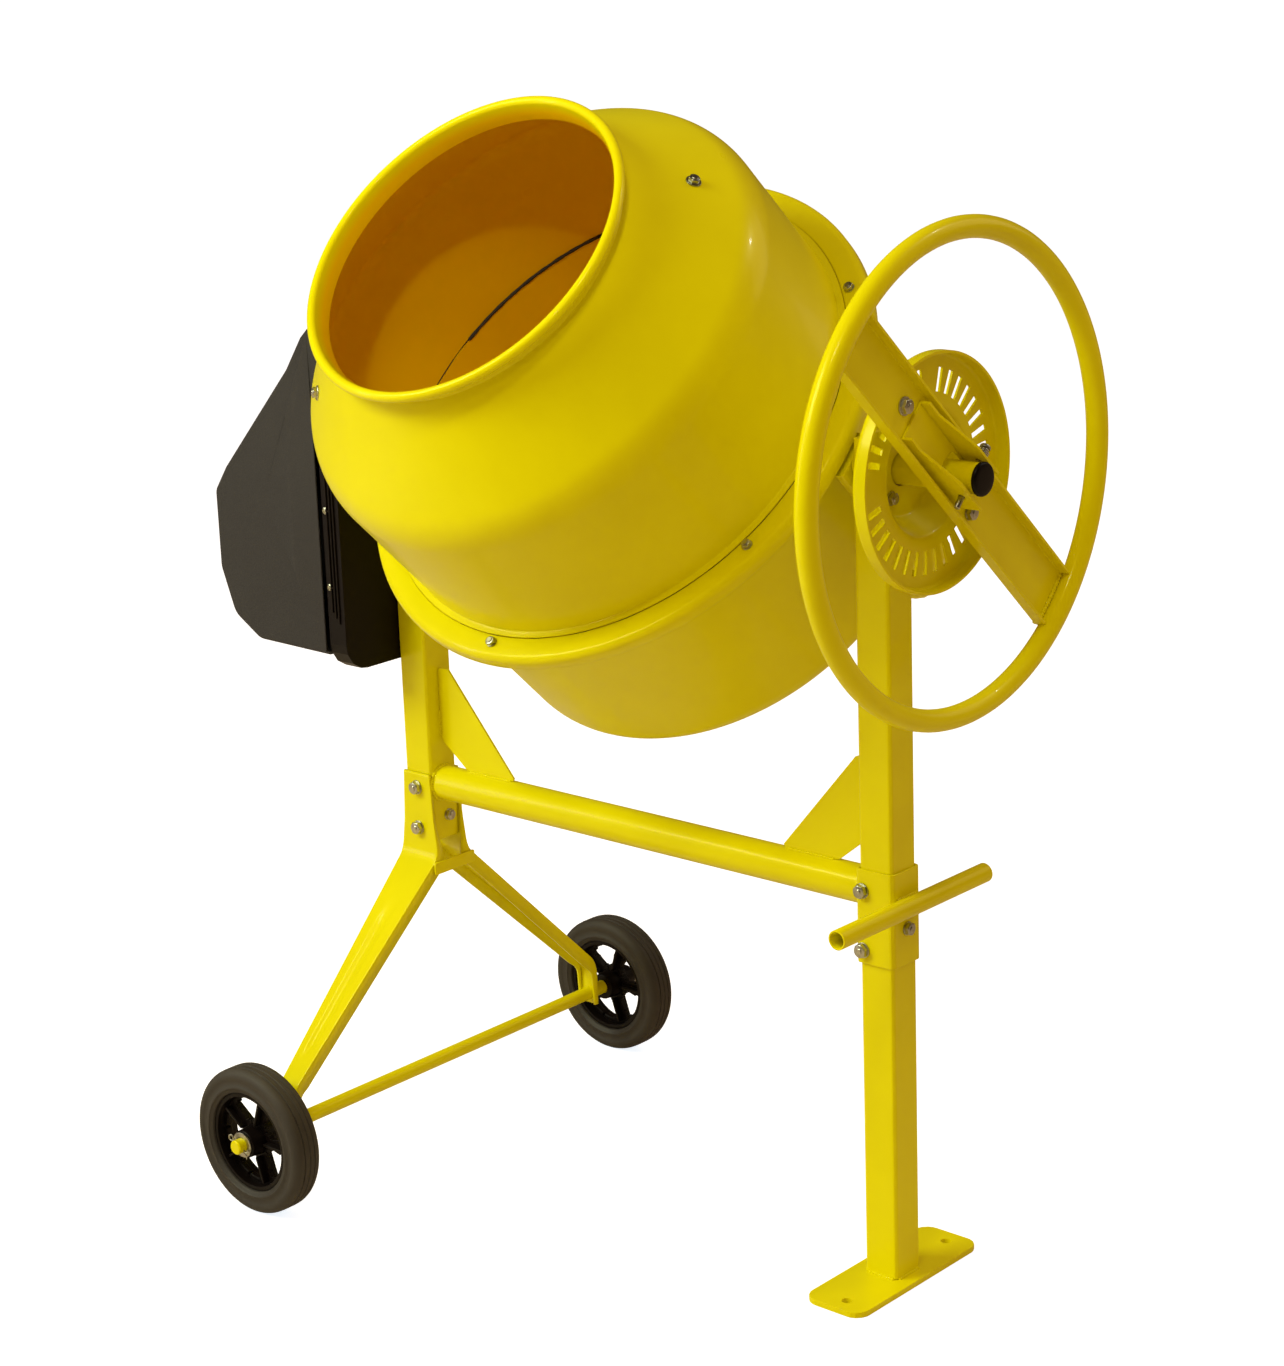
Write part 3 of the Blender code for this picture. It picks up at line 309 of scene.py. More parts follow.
dust, ends_in, ends_out = group("dust", {"Amount": 0.3}, ["Mask"])
upward = add(dust, "ShaderNodeSeparateXYZ", {0: add(dust,
                                                    "ShaderNodeNewGeometry").outputs["Normal"]}).outputs["Z"]
lying = ramp(dust, upward, 0.2, 1.0)
patchy = ramp(dust, noise(dust, 7, 5, 0.65), 0.40, 0.72)
settled = add(dust, "ShaderNodeMath", {0: lying, 1: patchy}, operation="MULTIPLY").outputs[0]
settled = add(dust, "ShaderNodeMath", {0: settled, 1: ends_in.outputs["Amount"]},
              operation="MULTIPLY").outputs[0]
dust.links.new(settled, ends_out.inputs["Mask"])

skin, ends_in, ends_out = group("skin", {"Coarse": 120.0, "Fine": 900.0, "Share": 0.5}, ["Height", "Tone"])
where = add(skin, "ShaderNodeTexCoord").outputs["Object"]
coarse = add(skin, "ShaderNodeTexNoise", {"Vector": where, "Scale": ends_in.outputs["Coarse"],
                                          "Detail": 2.0}).outputs["Fac"]
fine = add(skin, "ShaderNodeTexNoise", {"Vector": where, "Scale": ends_in.outputs["Fine"],
                                        "Detail": 3.0}).outputs["Fac"]
mixed = add(skin, "ShaderNodeMix", {"Factor": ends_in.outputs["Share"], "A": coarse,
                                    "B": fine}).outputs["Result"]
skin.links.new(mixed, ends_out.inputs["Height"])
skin.links.new(noise(skin, 4, 4, 0.6), ends_out.inputs["Tone"])
print("groups:", [g.name for g in bpy.data.node_groups])

# %% [markdown]
# ## Finishes
# Every finish has the same build: two close colours mixed by a slow cloud of tone, the rubbed edges and the
# settled dust laid over them, roughness that follows the same masks, and a bump from the skin. What differs
# is the numbers, so one function makes them all and the table below reads like a paint maker's card.
# The drum's finish adds a painted shade: an orange laid on the inside of the drum where its pieces are marked.

# %% Make the finishes
def make_finish(name, dark, light, roughness, metallic=0.0, coat=0.0, bump=0.1, depth=0.0002, coarse=120.0,
                fine=900.0, share=0.5, wear=0.3, wear_colour=None, dirt=0.15, dirt_colour=(0.55, 0.52, 0.46),
                radius=0.0015, streaks=None, glint=(1, 1, 1), gloss=0.5, painted_shade=None):
    """A Principled finish with cloudy colour, rubbed edges, dust and a skin, and, for the drum, a painted shade: a
    colour laid where a piece's points are marked.
    """
    material = bpy.data.materials.new(name)
    material.use_nodes = True
    tree = material.node_tree
    shader = tree.nodes["Principled BSDF"]
    surface = add(tree, "ShaderNodeGroup", node_tree=skin)
    for key, value in (("Coarse", coarse), ("Fine", fine), ("Share", share)):
        surface.inputs[key].default_value = value
    tone = ramp(tree, surface.outputs["Tone"], 0.32, 0.68)
    colour = add(tree, "ShaderNodeMix", {"Factor": tone, "A": (*dark, 1), "B": (*light, 1)},
                 data_type="RGBA").outputs["Result"]
    # painted shade: where a point is marked, the colour becomes the given orange, which paints the shade inside
    # the drum
    if painted_shade:
        painted_shade_mask = add(tree, "ShaderNodeAttribute", attribute_name="painted_shade").outputs["Fac"]
        colour = add(tree, "ShaderNodeMix", {"Factor": painted_shade_mask, "A": colour, "B": (*painted_shade, 1)},
                     data_type="RGBA").outputs["Result"]
    worn = add(tree, "ShaderNodeGroup", node_tree=edge_wear)
    worn.inputs["Radius"].default_value = radius
    worn.inputs["Amount"].default_value = wear
    if wear_colour:
        colour = add(tree, "ShaderNodeMix", {"Factor": worn.outputs["Mask"], "A": colour,
                                             "B": (*wear_colour, 1)},
                     data_type="RGBA").outputs["Result"]
    dusty = add(tree, "ShaderNodeGroup", node_tree=dust)
    dusty.inputs["Amount"].default_value = dirt
    colour = add(tree, "ShaderNodeMix", {"Factor": dusty.outputs["Mask"], "A": colour,
                                         "B": (*dirt_colour, 1)},
                 data_type="RGBA").outputs["Result"]
    tree.links.new(colour, shader.inputs["Base Color"])
    rough = ramp(tree, surface.outputs["Tone"], 0.3, 0.7, roughness * 0.85, roughness * 1.15)
    rough = add(tree, "ShaderNodeMix", {"Factor": dusty.outputs["Mask"], "A": rough,
                                        "B": 0.85}).outputs["Result"]
    tree.links.new(rough, shader.inputs["Roughness"])
    shader.inputs["Metallic"].default_value = metallic
    shader.inputs["Specular Tint"].default_value = (*glint, 1)
    shader.inputs["Specular IOR Level"].default_value = gloss
    shader.inputs["Coat Weight"].default_value = coat
    shader.inputs["Coat Roughness"].default_value = 0.08
    height = surface.outputs["Height"]
    if streaks:
        lines = noise(tree, 1.0, 3, 0.6, streaks)
        height = add(tree, "ShaderNodeMix", {"Factor": 0.6, "A": height, "B": lines}).outputs["Result"]
    relief = add(tree, "ShaderNodeBump", {"Strength": bump, "Distance": depth, "Height": height})
    tree.links.new(relief.outputs["Normal"], shader.inputs["Normal"])
    finishes[name] = material
    return material


PAINT = dict(roughness=0.32, coat=0.12, bump=0.20, depth=0.0003, coarse=160, fine=700, share=0.35, wear=0.35,
             wear_colour=(0.50, 0.36, 0.01), dirt=0.0, glint=(0.95, 0.85, 0.05), gloss=0.35)
make_finish("yellow_paint", (0.80, 0.74, 0.0), (0.88, 0.83, 0.0), **PAINT)
# the same yellow paint with a painted shade: an orange on the marked inside of the drum and its blades paints the
# shade there
make_finish("drum_paint_with_painted_shade", (0.80, 0.74, 0.0), (0.88, 0.83, 0.0), painted_shade=(0.90, 0.60, 0.0), **PAINT)
make_finish("zinc_plate", (0.42, 0.42, 0.36), (0.66, 0.63, 0.50), 0.34, metallic=1.0, bump=0.25, coarse=400,
            wear=0.6, wear_colour=(0.75, 0.74, 0.70), radius=0.0006)
make_finish("cast_iron", (0.07, 0.068, 0.065), (0.15, 0.14, 0.135), 0.58, metallic=0.7, bump=0.7,
            depth=0.0006,
            coarse=260, fine=900, wear=0.7, wear_colour=(0.32, 0.31, 0.30))
make_finish("bright_steel", (0.45, 0.45, 0.46), (0.62, 0.62, 0.63), 0.27, metallic=1.0, bump=0.15, coarse=300,
            wear=0.3, wear_colour=(0.75, 0.75, 0.75), streaks=(30, 900, 900))
make_finish("tyre_rubber", (0.024, 0.021, 0.018), (0.046, 0.040, 0.034), 0.62, bump=0.55, depth=0.0004,
            coarse=220,
            fine=1400, wear=0.5, wear_colour=(0.075, 0.066, 0.060), dirt=0.22, dirt_colour=(0.16, 0.14, 0.12))
make_finish("belt_rubber", (0.018, 0.018, 0.018), (0.030, 0.030, 0.030), 0.70, bump=0.5, depth=0.0004,
            coarse=500)
make_finish("black_plastic", (0.0030, 0.0016, 0.0014), (0.0060, 0.0032, 0.0028), 0.42, bump=0.18,
            depth=0.0003,
            coarse=350, fine=1600, wear=0.3, wear_colour=(0.030, 0.022, 0.020), dirt=0.04,
            dirt_colour=(0.06, 0.05, 0.045), gloss=0.16)
make_finish("grey_plastic", (0.029, 0.028, 0.031), (0.041, 0.040, 0.044), 0.60, bump=0.6, depth=0.0006,
            coarse=420, fine=1500, share=0.4, wear=0.1, wear_colour=(0.08, 0.073, 0.067), dirt=0.03,
            dirt_colour=(0.09, 0.08, 0.07), radius=0.002, gloss=0.25)
make_finish("bronze", (0.36, 0.22, 0.09), (0.52, 0.36, 0.16), 0.42, metallic=1.0, bump=0.3)
make_finish("green_plastic", (0.012, 0.20, 0.04), (0.02, 0.30, 0.06), 0.30, bump=0.1, dirt=0.08)
make_finish("red_plastic", (0.42, 0.014, 0.010), (0.56, 0.025, 0.018), 0.30, bump=0.1, dirt=0.08)
print("finishes:", sorted(finishes))

# %% [markdown]
# ## The drum
# The real drum is two pressed steel bowls bolted together at a flange, so each is a turned profile. The
# line of the wall is drawn once on the outside and once, moved in by the sheet's thickness, on the inside;
# joined they close into one skin. The mouth's edge is rolled outwards into a bead.

# %% Drum walls
DRUM_RADIUS, WALL = 0.257, 0.0025
DRUM_BOTTOM, BOTTOM_ROUNDING = -0.195, 0.025
SHOULDER, SHOULDER_ROUNDING = 0.200, 0.055
NECK_RADIUS, NECK_START = 0.166, 0.297
RIM_HEIGHT, RIM_RADIUS, RIM_BEAD = 0.314, 0.172, 0.0051
SEAM = 0.0343


def arc(centre, radius, start, end, steps):
    """Points of an arc: centre plus radius times (cos, sin), in degrees."""
    a = np.radians(np.linspace(start, end, steps + 1))
    return np.stack([centre[0] + radius * np.cos(a), centre[1] + radius * np.sin(a)], 1)


def lower_line(inset):
    bend = arc((DRUM_RADIUS - BOTTOM_ROUNDING, DRUM_BOTTOM + BOTTOM_ROUNDING), BOTTOM_ROUNDING - inset, -90,
               0, 10)
    return np.concatenate([[(0.0348, DRUM_BOTTOM + inset), (0.12, DRUM_BOTTOM + inset)], bend])


def upper_line(inset):
    lean = np.degrees(np.arctan((DRUM_RADIUS - NECK_RADIUS) / (NECK_START - SHOULDER)))
    reach = SHOULDER_ROUNDING * np.tan(np.radians(lean / 2))
    bend = arc((DRUM_RADIUS - SHOULDER_ROUNDING, SHOULDER - reach), SHOULDER_ROUNDING - inset, 0, lean, 14)
    return np.concatenate([bend, [(NECK_RADIUS - 0.8 * inset, NECK_START - 0.4 * inset)]])


flange = [(DRUM_RADIUS, 0.0303), (DRUM_RADIUS + 0.6 * MM, 0.0317), (0.2590, 0.0323), (0.2820, 0.0323),
          (0.2820, SEAM),
          (DRUM_RADIUS - WALL, SEAM)]
profile = np.concatenate([lower_line(0), flange, lower_line(WALL)[::-1]])
# painted shade: inner faces of this bowl below the seam, and of the upper bowl below its bead, get the orange
mark_painted_shade(piece("lower_drum_bowl", in_cradle(turned(profile, 192)), "drum", "yellow_paint", "lower_drum",
           finish="drum_paint_with_painted_shade"), SEAM + 1 * MM)

foot = SEAM + GAP + 1.2 * MM + GAP
inner = DRUM_RADIUS - 2 * MM
foot_line = [(inner, foot), (0.2640, foot), (0.2640, foot + 1.3 * MM), (0.2586, foot + 1.5 * MM),
             (0.2574, foot + 2.1 * MM), (DRUM_RADIUS, foot + 3.2 * MM)]
bead = arc((RIM_RADIUS, RIM_HEIGHT), RIM_BEAD, -130, 180, 22)
profile = np.concatenate([foot_line, upper_line(0), [(NECK_RADIUS, 0.3070)], bead,
                          [(NECK_RADIUS - 1.6 * MM, 0.306)],
                          upper_line(2 * MM)[::-1]])
mark_painted_shade(piece("upper_drum_cone", in_cradle(turned(profile, 192)), "drum", "yellow_paint", "upper_drum",
           finish="drum_paint_with_painted_shade"), RIM_HEIGHT - RIM_BEAD)

# the line of a strip of black rubber at the seam, for part of its round: a painted shade, drawing the dark line of
# shade under a blade's edge inside the drum
a = np.radians(np.linspace(112, 165, 120))
SHADE_STRIP_RADIUS, SHADE_STRIP_HEIGHT = 0.2542, 0.0350
shade_strip_line = np.stack([SHADE_STRIP_RADIUS * np.cos(a), SHADE_STRIP_RADIUS * np.sin(a), SHADE_STRIP_HEIGHT + 0 * a], 1)

# %% [markdown]
# The guard is a folded ring bolted to the flange: flat on top, a soft bend, then a short skirt over the
# gear teeth. Its outer face has a step pressed in, which is what catches the light in a thin line.

# %% Guard ring
low = SEAM + GAP
top = low + 1.8 * MM
profile = np.concatenate([[(0.2645, low), (0.2830, low)], arc((0.2830, low - 5.5 * MM), 5.5 * MM, 80, 0, 6),
                          [(0.2885, 0.0205), (0.2890, 0.0195), (0.2898, 0.0195), (0.2903, 0.0203)],
                          arc((0.2830, low - 5.5 * MM), 7.3 * MM, 0, 90, 10),
                          [(0.2655, top), (0.2645, top - 0.7 * MM)]])
piece("guard_ring", in_cradle(turned(profile, 216)), "drum", "yellow_paint", "ring_guard", sharp=50)

# %% [markdown]
# ## Mixing blades
# Each blade is a curved plate that climbs the wall as it goes round. Its four long edges are curves of one
# parameter s from 0 to 1: height and angle grow evenly with s, and the inner edge swells inwards as a sine.
# A bevel then gives it the softened edge of thick painted plate.

# %% Blades
s = np.linspace(0, 1, 49)
outer = np.full(len(s), DRUM_RADIUS - WALL - 4 * MM)
reach = 0.012 + 0.080 * np.sin(np.pi * np.clip(s * 0.9 + 0.05, 0, 1)) ** 0.7
for name, start in (("mixing_blade_left", 200), ("mixing_blade_right", 20)):
    radius = np.stack([outer, outer - reach, outer - reach, outer], 1)
    turn = np.radians(start + 62 * s)[:, None] + np.array([-1, -1, 1, 1]) * 2.5 * MM / radius
    rise = np.repeat((-0.150 + 0.300 * s)[:, None], 4, 1)
    points = np.stack([radius * np.cos(turn), radius * np.sin(turn), rise], -1)
    ends = np.array([(0, 1, 2, 3), (3, 2, 1, 0)]) + np.array([[0], [4 * len(s) - 4]])
    sides = grid(points)
    blade = piece(name + "_plate", in_cradle((sides[0], np.concatenate([sides[1], ends]))), "drum",
                  "yellow_paint", name, finish="drum_paint_with_painted_shade")
    # painted shade: the whole blade gets the orange, as it stands in the shade inside the drum
    mark_painted_shade(blade, SEAM, every=True)
    soften(blade, 1.2 * MM)

# %% [markdown]
# ## Bolts
# A bolt that is seen is a washer and a hexagon head. The hexagon is a radius that changes round the head:
# half the width over the flats divided by cos of the angle from the middle of a flat. The chamfer is a cone
# that cuts the corners: the smaller of the two radii wins at each height.

# %% Bolt heads
def washer(outside, bore, thick):
    edge = min(0.3 * MM, thick / 3)
    return turned([(bore, 0), (outside, 0), (outside, thick - edge), (outside - edge, thick),
                   (bore, thick)], 32)


def hexagon(across, height, bore=0.0, low=0.0):
    """A head or nut: radius = smaller of the hexagon's and the chamfer cone's, row by row."""
    t = np.linspace(0, 2 * np.pi, 48, endpoint=False)
    flat = across / 2 / np.cos((t + np.pi / 6) % (np.pi / 3) - np.pi / 6)
    heights = np.array([0, 0.72, 0.86, 0.95, 1.0])
    cone = across / 2 * np.array([1.2, 1.16, 1.08, 1.0, 0.92])
    ring = np.minimum(flat[None], cone[:, None])
    inner = np.full((1, len(t)), bore)
    radius = np.concatenate([inner, ring, inner])
    lift = low + height * np.concatenate([[0], heights, [1]])
    points = np.stack([radius * np.cos(t), radius * np.sin(t), np.repeat(lift[:, None], len(t), 1)], -1)
    return grid(points, wrap_rows=bore > 0)


def towards(direction, up=(0, 0, 1)):
    """A turn that takes Z to a direction."""
    z = np.array(direction, float) / np.linalg.norm(direction)
    x = np.cross(up if abs(np.dot(up, z)) < 0.9 else (1, 0, 0), z)
    x /= np.linalg.norm(x)
    return np.stack([x, np.cross(z, x), z], 1)


def bolt(name, at, direction, body, across=13 * MM, head=5.3 * MM, plate=8 * MM, frame_of=in_stand, spin=0.0,
         **more):
    """A bolt head on its washer; at is on the face that direction leaves."""
    twist = placed(together(washer(plate, 3 * MM, 1.5 * MM), hexagon(across, head, low=1.5 * MM),
                            turned([(0, head), (3.2 * MM, head), (3.2 * MM, head + 2.0 * MM),
                                    (2.6 * MM, head + 2.5 * MM), (0, head + 2.5 * MM)], 24)),
                   np.array([[np.cos(spin), -np.sin(spin), 0], [np.sin(spin), np.cos(spin), 0], [0, 0, 1]]))
    return piece(name, frame_of(placed(twist, towards(direction), at)), body, "zinc_plate", sharp=30, **more)


SLEEVE = 0.023
SLEEVE_BOLT_X = POST_X - 14 * MM
PLATE_FACE = HALF_POST + GAP + 3 * MM
LIFT = 0.1 * MM                     # keeps a washer off the face it lies on
FRONT, BACK, SIDE = (0, -1, 0), (0, 1, 0), (1, 0, 0)
# name, place on the face, direction, node stood for, millimetres over the flats, of head and of washer, turn
for name, at, direction, node, across, head, plate, spin in (
        ("sleeve_bolt_upper", (SLEEVE_BOLT_X, -SLEEVE - LIFT, 0.418), FRONT, "frame_bolt_1", 13, 5.3, 8, 0.3),
        ("sleeve_bolt_lower", (SLEEVE_BOLT_X, -SLEEVE - LIFT, 0.356), FRONT, "frame_bolt_2", 13, 5.3, 8, 0.9),
        ("sleeve_bolt_side", (POST_X + SLEEVE + LIFT, 0, 0.380), SIDE, "frame_bolt_3", 12, 4.6, 7, 0.2),
        ("leg_bolt_upper", (-POST_X, -PLATE_FACE - LIFT, 0.411), FRONT, "frame_bolt_4", 13, 5.3, 8, 0.1),
        ("leg_bolt_lower", (-POST_X, -PLATE_FACE - LIFT, 0.364), FRONT, "frame_bolt_5", 13, 5.3, 8, 0.6),
        ("leg_nut_upper", (-POST_X, PLATE_FACE + LIFT, 0.411), BACK, (), 13, 5.3, 8, 0.4),
        ("leg_nut_lower", (-POST_X, PLATE_FACE + LIFT, 0.364), BACK, (), 13, 5.3, 8, 0.2),
        ("left_post_bolt", (-POST_X + HALF_POST + LIFT, 4 * MM, 0.376), SIDE, (), 11, 4, 6.5, 0.5)):
    bolt(name, at, direction, "stand", across * MM, head * MM, plate * MM, spin=spin, stands_for=node)

GUARD_BOLT_RADIUS = 0.2728
for k, angle in enumerate(np.radians([-90, -27, 39, 102, 161, 212])):
    around = np.array([np.cos(angle), np.sin(angle), 0])
    bolt(f"guard_bolt_{k + 1}", (*(around[:2] * GUARD_BOLT_RADIUS), top + 0.05 * MM), (0, 0, 1), "drum",
         across=9 * MM, head=3.4 * MM, plate=5.5 * MM, frame_of=in_cradle, spin=k * 0.37)

# the blades are held by bolts through the wall of the drum, one near each end
CONE = np.array([NECK_START - SHOULDER, 0, DRUM_RADIUS - NECK_RADIUS])
for k, (angle, radius, height, tilt) in enumerate(((40, 0.2148, 0.245, 1), (220, 0.2148, 0.245, 1),
                                                   (52, DRUM_RADIUS, 0.010, 0),
                                                   (232, DRUM_RADIUS, 0.010, 0))):
    a = np.radians(angle)
    slope = CONE / np.linalg.norm(CONE) if tilt else np.array([1, 0, 0])
    out = np.array([slope[0] * np.cos(a), slope[0] * np.sin(a), slope[2]])
    bolt(f"blade_bolt_{k + 1}", (radius * np.cos(a), radius * np.sin(a), height), out, "drum", across=10 * MM,
         head=4 * MM, plate=7.5 * MM, frame_of=in_cradle, spin=k * 0.5)

# %% [markdown]
# ## Stand
# The square posts, plates and gussets are flat-sided, so the CAD shapes are right already. They only get
# what steel tube has and a solid model lacks: softened edges. The round parts are turned again with more
# steps. Every joint gets its weld, a bead whose thickness ripples along its length.

# %% Kept pieces of the stand, and round tubes
nodes = frame["nodes"]
for name in ("left_post", "right_post", "right_leg", "post_sleeve", "left_gusset", "right_gusset",
             "foot_plate",
             "cradle_arm", "hub_bracket", "handwheel_spoke", "switch_box", "housing_inner_cover"):
    soften(nodes[name], 0.7 * MM, 2, weld=True)


def pipe_profile(radius, bore, low, high, edge=0.5 * MM):
    """A tube's wall with broken edges."""
    return [(bore, low + edge), (bore + edge, low), (radius - edge, low), (radius, low + edge),
            (radius, high - edge), (radius - edge, high), (bore + edge, high), (bore, high - edge)]


TUBE_HEIGHT, TUBE_RADIUS = 0.415, 0.0195
post_side = POST_X - HALF_POST - GAP
sleeve_side = POST_X - SLEEVE - GAP
tube = placed(turned(pipe_profile(TUBE_RADIUS, 17 * MM, -post_side, sleeve_side), 64), ALONG_X,
              (0, 0, TUBE_HEIGHT))
piece("crossbar_tube", in_stand(tube), "stand", "yellow_paint", "connecting_tube")
HANDLE_X, HANDLE_HEIGHT, HANDLE_HALF = POST_X + SLEEVE + 0.010 + GAP, 0.407, 0.1215
handle = placed(turned(pipe_profile(0.010, 8 * MM, -HANDLE_HALF, HANDLE_HALF), 48), ALONG_Y,
                (HANDLE_X, -4 * MM, HANDLE_HEIGHT))
piece("handle_tube", in_stand(handle), "stand", "yellow_paint", "transport_handle")


def bead_along(line, radius, ripple=0.16, waves=0.0035, closed=False):
    """A weld: circles of points round a line, their radius rippling with the length run so far; the circles
    stand square to the line."""
    line = np.array(line, float)
    step = np.linalg.norm(np.diff(line, axis=0, append=line[:1] if closed else line[-1:]), axis=1)
    run = np.concatenate([[0], np.cumsum(step)[:-1]])
    ahead = np.gradient(line, axis=0) if not closed else np.roll(line, -1, 0) - np.roll(line, 1, 0)
    ahead /= np.linalg.norm(ahead, axis=1, keepdims=True)
    side = np.cross(ahead, (0.31, 0.52, 0.79))
    side /= np.linalg.norm(side, axis=1, keepdims=True)
    other = np.cross(ahead, side)
    size = radius * (1 + ripple * np.sin(2 * np.pi * run / waves)
                     + 0.5 * ripple * np.sin(17.3 * run / waves / 6.1))
    if not closed:
        size[0] = size[-1] = radius * 0.02
    t = np.linspace(0, 2 * np.pi, 8, endpoint=False)
    points = line[:, None] + size[:, None, None] * (side[:, None] * np.cos(t)[:, None]
                                                    + other[:, None] * np.sin(t)[:, None])
    return grid(points, wrap_rows=closed)


def straight(start, end, spacing=0.0008):
    """Evenly spaced points from start to end."""
    start, end = np.array(start, float), np.array(end, float)
    count = max(3, int(np.linalg.norm(end - start) / spacing))
    return start + (end - start) * np.linspace(0, 1, count)[:, None]


def circle(centre, radius, turn=np.eye(3), count=150):
    t = np.linspace(0, 2 * np.pi, count, endpoint=False)
    flat = np.stack([radius * np.cos(t), radius * np.sin(t), 0 * t], 1)
    return flat @ np.array(turn, float).T + np.array(centre, float)


lift = TUBE_HEIGHT + TUBE_RADIUS
welds = [bead_along(circle((-post_side, 0, TUBE_HEIGHT), TUBE_RADIUS, ALONG_X), 2.2 * MM, closed=True),
         bead_along(circle((sleeve_side, 0, TUBE_HEIGHT), TUBE_RADIUS, ALONG_X), 2.2 * MM, closed=True)]
for side in (-1, 1):
    for y in (-2 * MM, 2 * MM):
        welds.append(bead_along(straight((side * post_side, y, 0.470), (side * post_side, y, 0.500)),
                                1.5 * MM))
        welds.append(bead_along(straight((side * 0.254, y, lift), (side * 0.192, y, lift)), 1.5 * MM))
FOOT_TOP = 6 * MM
for y in (-1, 1):
    welds.append(bead_along(straight((POST_X - 17 * MM, y * HALF_POST, FOOT_TOP),
                                     (POST_X + 17 * MM, y * HALF_POST, FOOT_TOP)),
                            2.0 * MM))
    welds.append(bead_along(straight((POST_X + y * HALF_POST, -17 * MM, FOOT_TOP),
                                     (POST_X + y * HALF_POST, 17 * MM, FOOT_TOP)),
                            2.0 * MM))
for z in (-1, 1):
    welds.append(bead_along(straight((POST_X + SLEEVE, -17 * MM, HANDLE_HEIGHT + z * 6 * MM),
                                     (POST_X + SLEEVE, 17 * MM, HANDLE_HEIGHT + z * 6 * MM)), 1.8 * MM))
piece("stand_welds", in_stand(together(*welds)), "stand", "yellow_paint", sharp=80)
# painted shade: this black strip draws the line of shade inside the drum
piece("painted_shade_strip", in_cradle(bead_along(shade_strip_line, 1.9 * MM, ripple=0.1, waves=0.02)), "drum", "belt_rubber",
      sharp=80)

# %% [markdown]
# ## Wheel legs
# Each leg is one strip of sheet, bent over the post, folded into a channel and pressed with a long groove.
# Its middle line is a path in the plane across the axle, and its width and fold depth change along it. The
# groove is a smooth dip: deepest on the middle line, and fading to nothing at a third of the width and at
# both ends. Solidify then gives the sheet its thickness inwards.

# %% Legs
stations = np.array([(0.0233, 0.428, 40, 3.2), (0.0233, 0.372, 46, 3.2), (0.0233, 0.341, 55, 8),
                     (0.0263, 0.331, 56, 15),
                     (0.238, 0.130, 27, 15), (0.243, 0.121, 26, 12), (0.245, 0.110, 26, 8),
                     (0.245, 0.070, 26, 6)])


def smoothed(values, passes=2):
    """Each value replaced by the mean of itself and its neighbours, which rounds a bend; the ends stay."""
    for _ in range(passes):
        values = np.concatenate([values[:1], (values[:-2] + values[1:-1] + values[2:]) / 3, values[-1:]])
    return values


run = np.concatenate([[0], np.cumsum(np.linalg.norm(np.diff(stations[:, :2], axis=0), axis=1))])
along = np.linspace(0, run[-1], 140)
y, z, width, fold = (smoothed(np.interp(along, run, stations[:, k])) for k in range(4))
width, fold = width[:, None] * MM, fold[:, None] * MM
ahead = np.stack([np.gradient(y), np.gradient(z)], 1)
ahead /= np.linalg.norm(ahead, axis=1, keepdims=True)
across = np.concatenate([[-1, -1, -0.997, -0.985, -0.95], np.linspace(-0.88, 0.88, 25),
                         [0.95, 0.985, 0.997, 1, 1]])
drop = np.concatenate([[1, 0.12, 0.05, 0.016, 0], np.zeros(25), [0, 0.016, 0.05, 0.12, 1]])[None]
share = (along / run[-1])[:, None]
fade = np.clip((share - 0.34) / 0.07, 0, 1) * np.clip((0.80 - share) / 0.04, 0, 1)
dip = 1.8 * MM * fade * np.clip(1.35 - np.abs(across)[None] / 0.30, 0, 1)
inward = drop * fold + dip
for side, name in ((1, "front_wheel_leg"), (-1, "back_wheel_leg")):
    # the front leg leans to -Y: out is away from the middle of the machine, square to the path
    x = -POST_X + across[None] * width / 2
    leg_y = -side * (y[:, None] - inward * -ahead[:, 1:])
    leg_z = z[:, None] - inward * ahead[:, :1]
    sheet = grid(np.stack([x + 0 * leg_y, leg_y, leg_z], -1), wrap_columns=False)
    leg = piece(name + "_channel", in_stand(sheet), "stand", "yellow_paint", name,
                away_from=GROUND + (-POST_X, 0, 0.10))
    thicken(leg, 3 * MM, -1.0)
strip = slab(rectangle(62 * MM, 14 * MM, 2 * MM), 0, 2.8 * MM, 0.6 * MM)
strip = placed(strip, np.array([[0, 0, 1], [1, 0, 0], [0, 1, 0]]), (-POST_X + 28.2 * MM, 0, 0.322))
piece("leg_tie_strip", in_stand(strip), "stand", "yellow_paint")

# %% [markdown]
# ## Road wheels
# A tyre is a turned profile: a flat tread between rounded shoulders, two fine grooves round the tread, and a
# raised ring low on each wall. The hub is a turned rim and boss, with a web between them. The web is a
# polar grid whose faces are left out where the five windows are.

# %% Tyres, hubs and axle
TYRE, HALF_TYRE, BEAD, AXLE = 0.082, 0.018, 0.056, 0.008


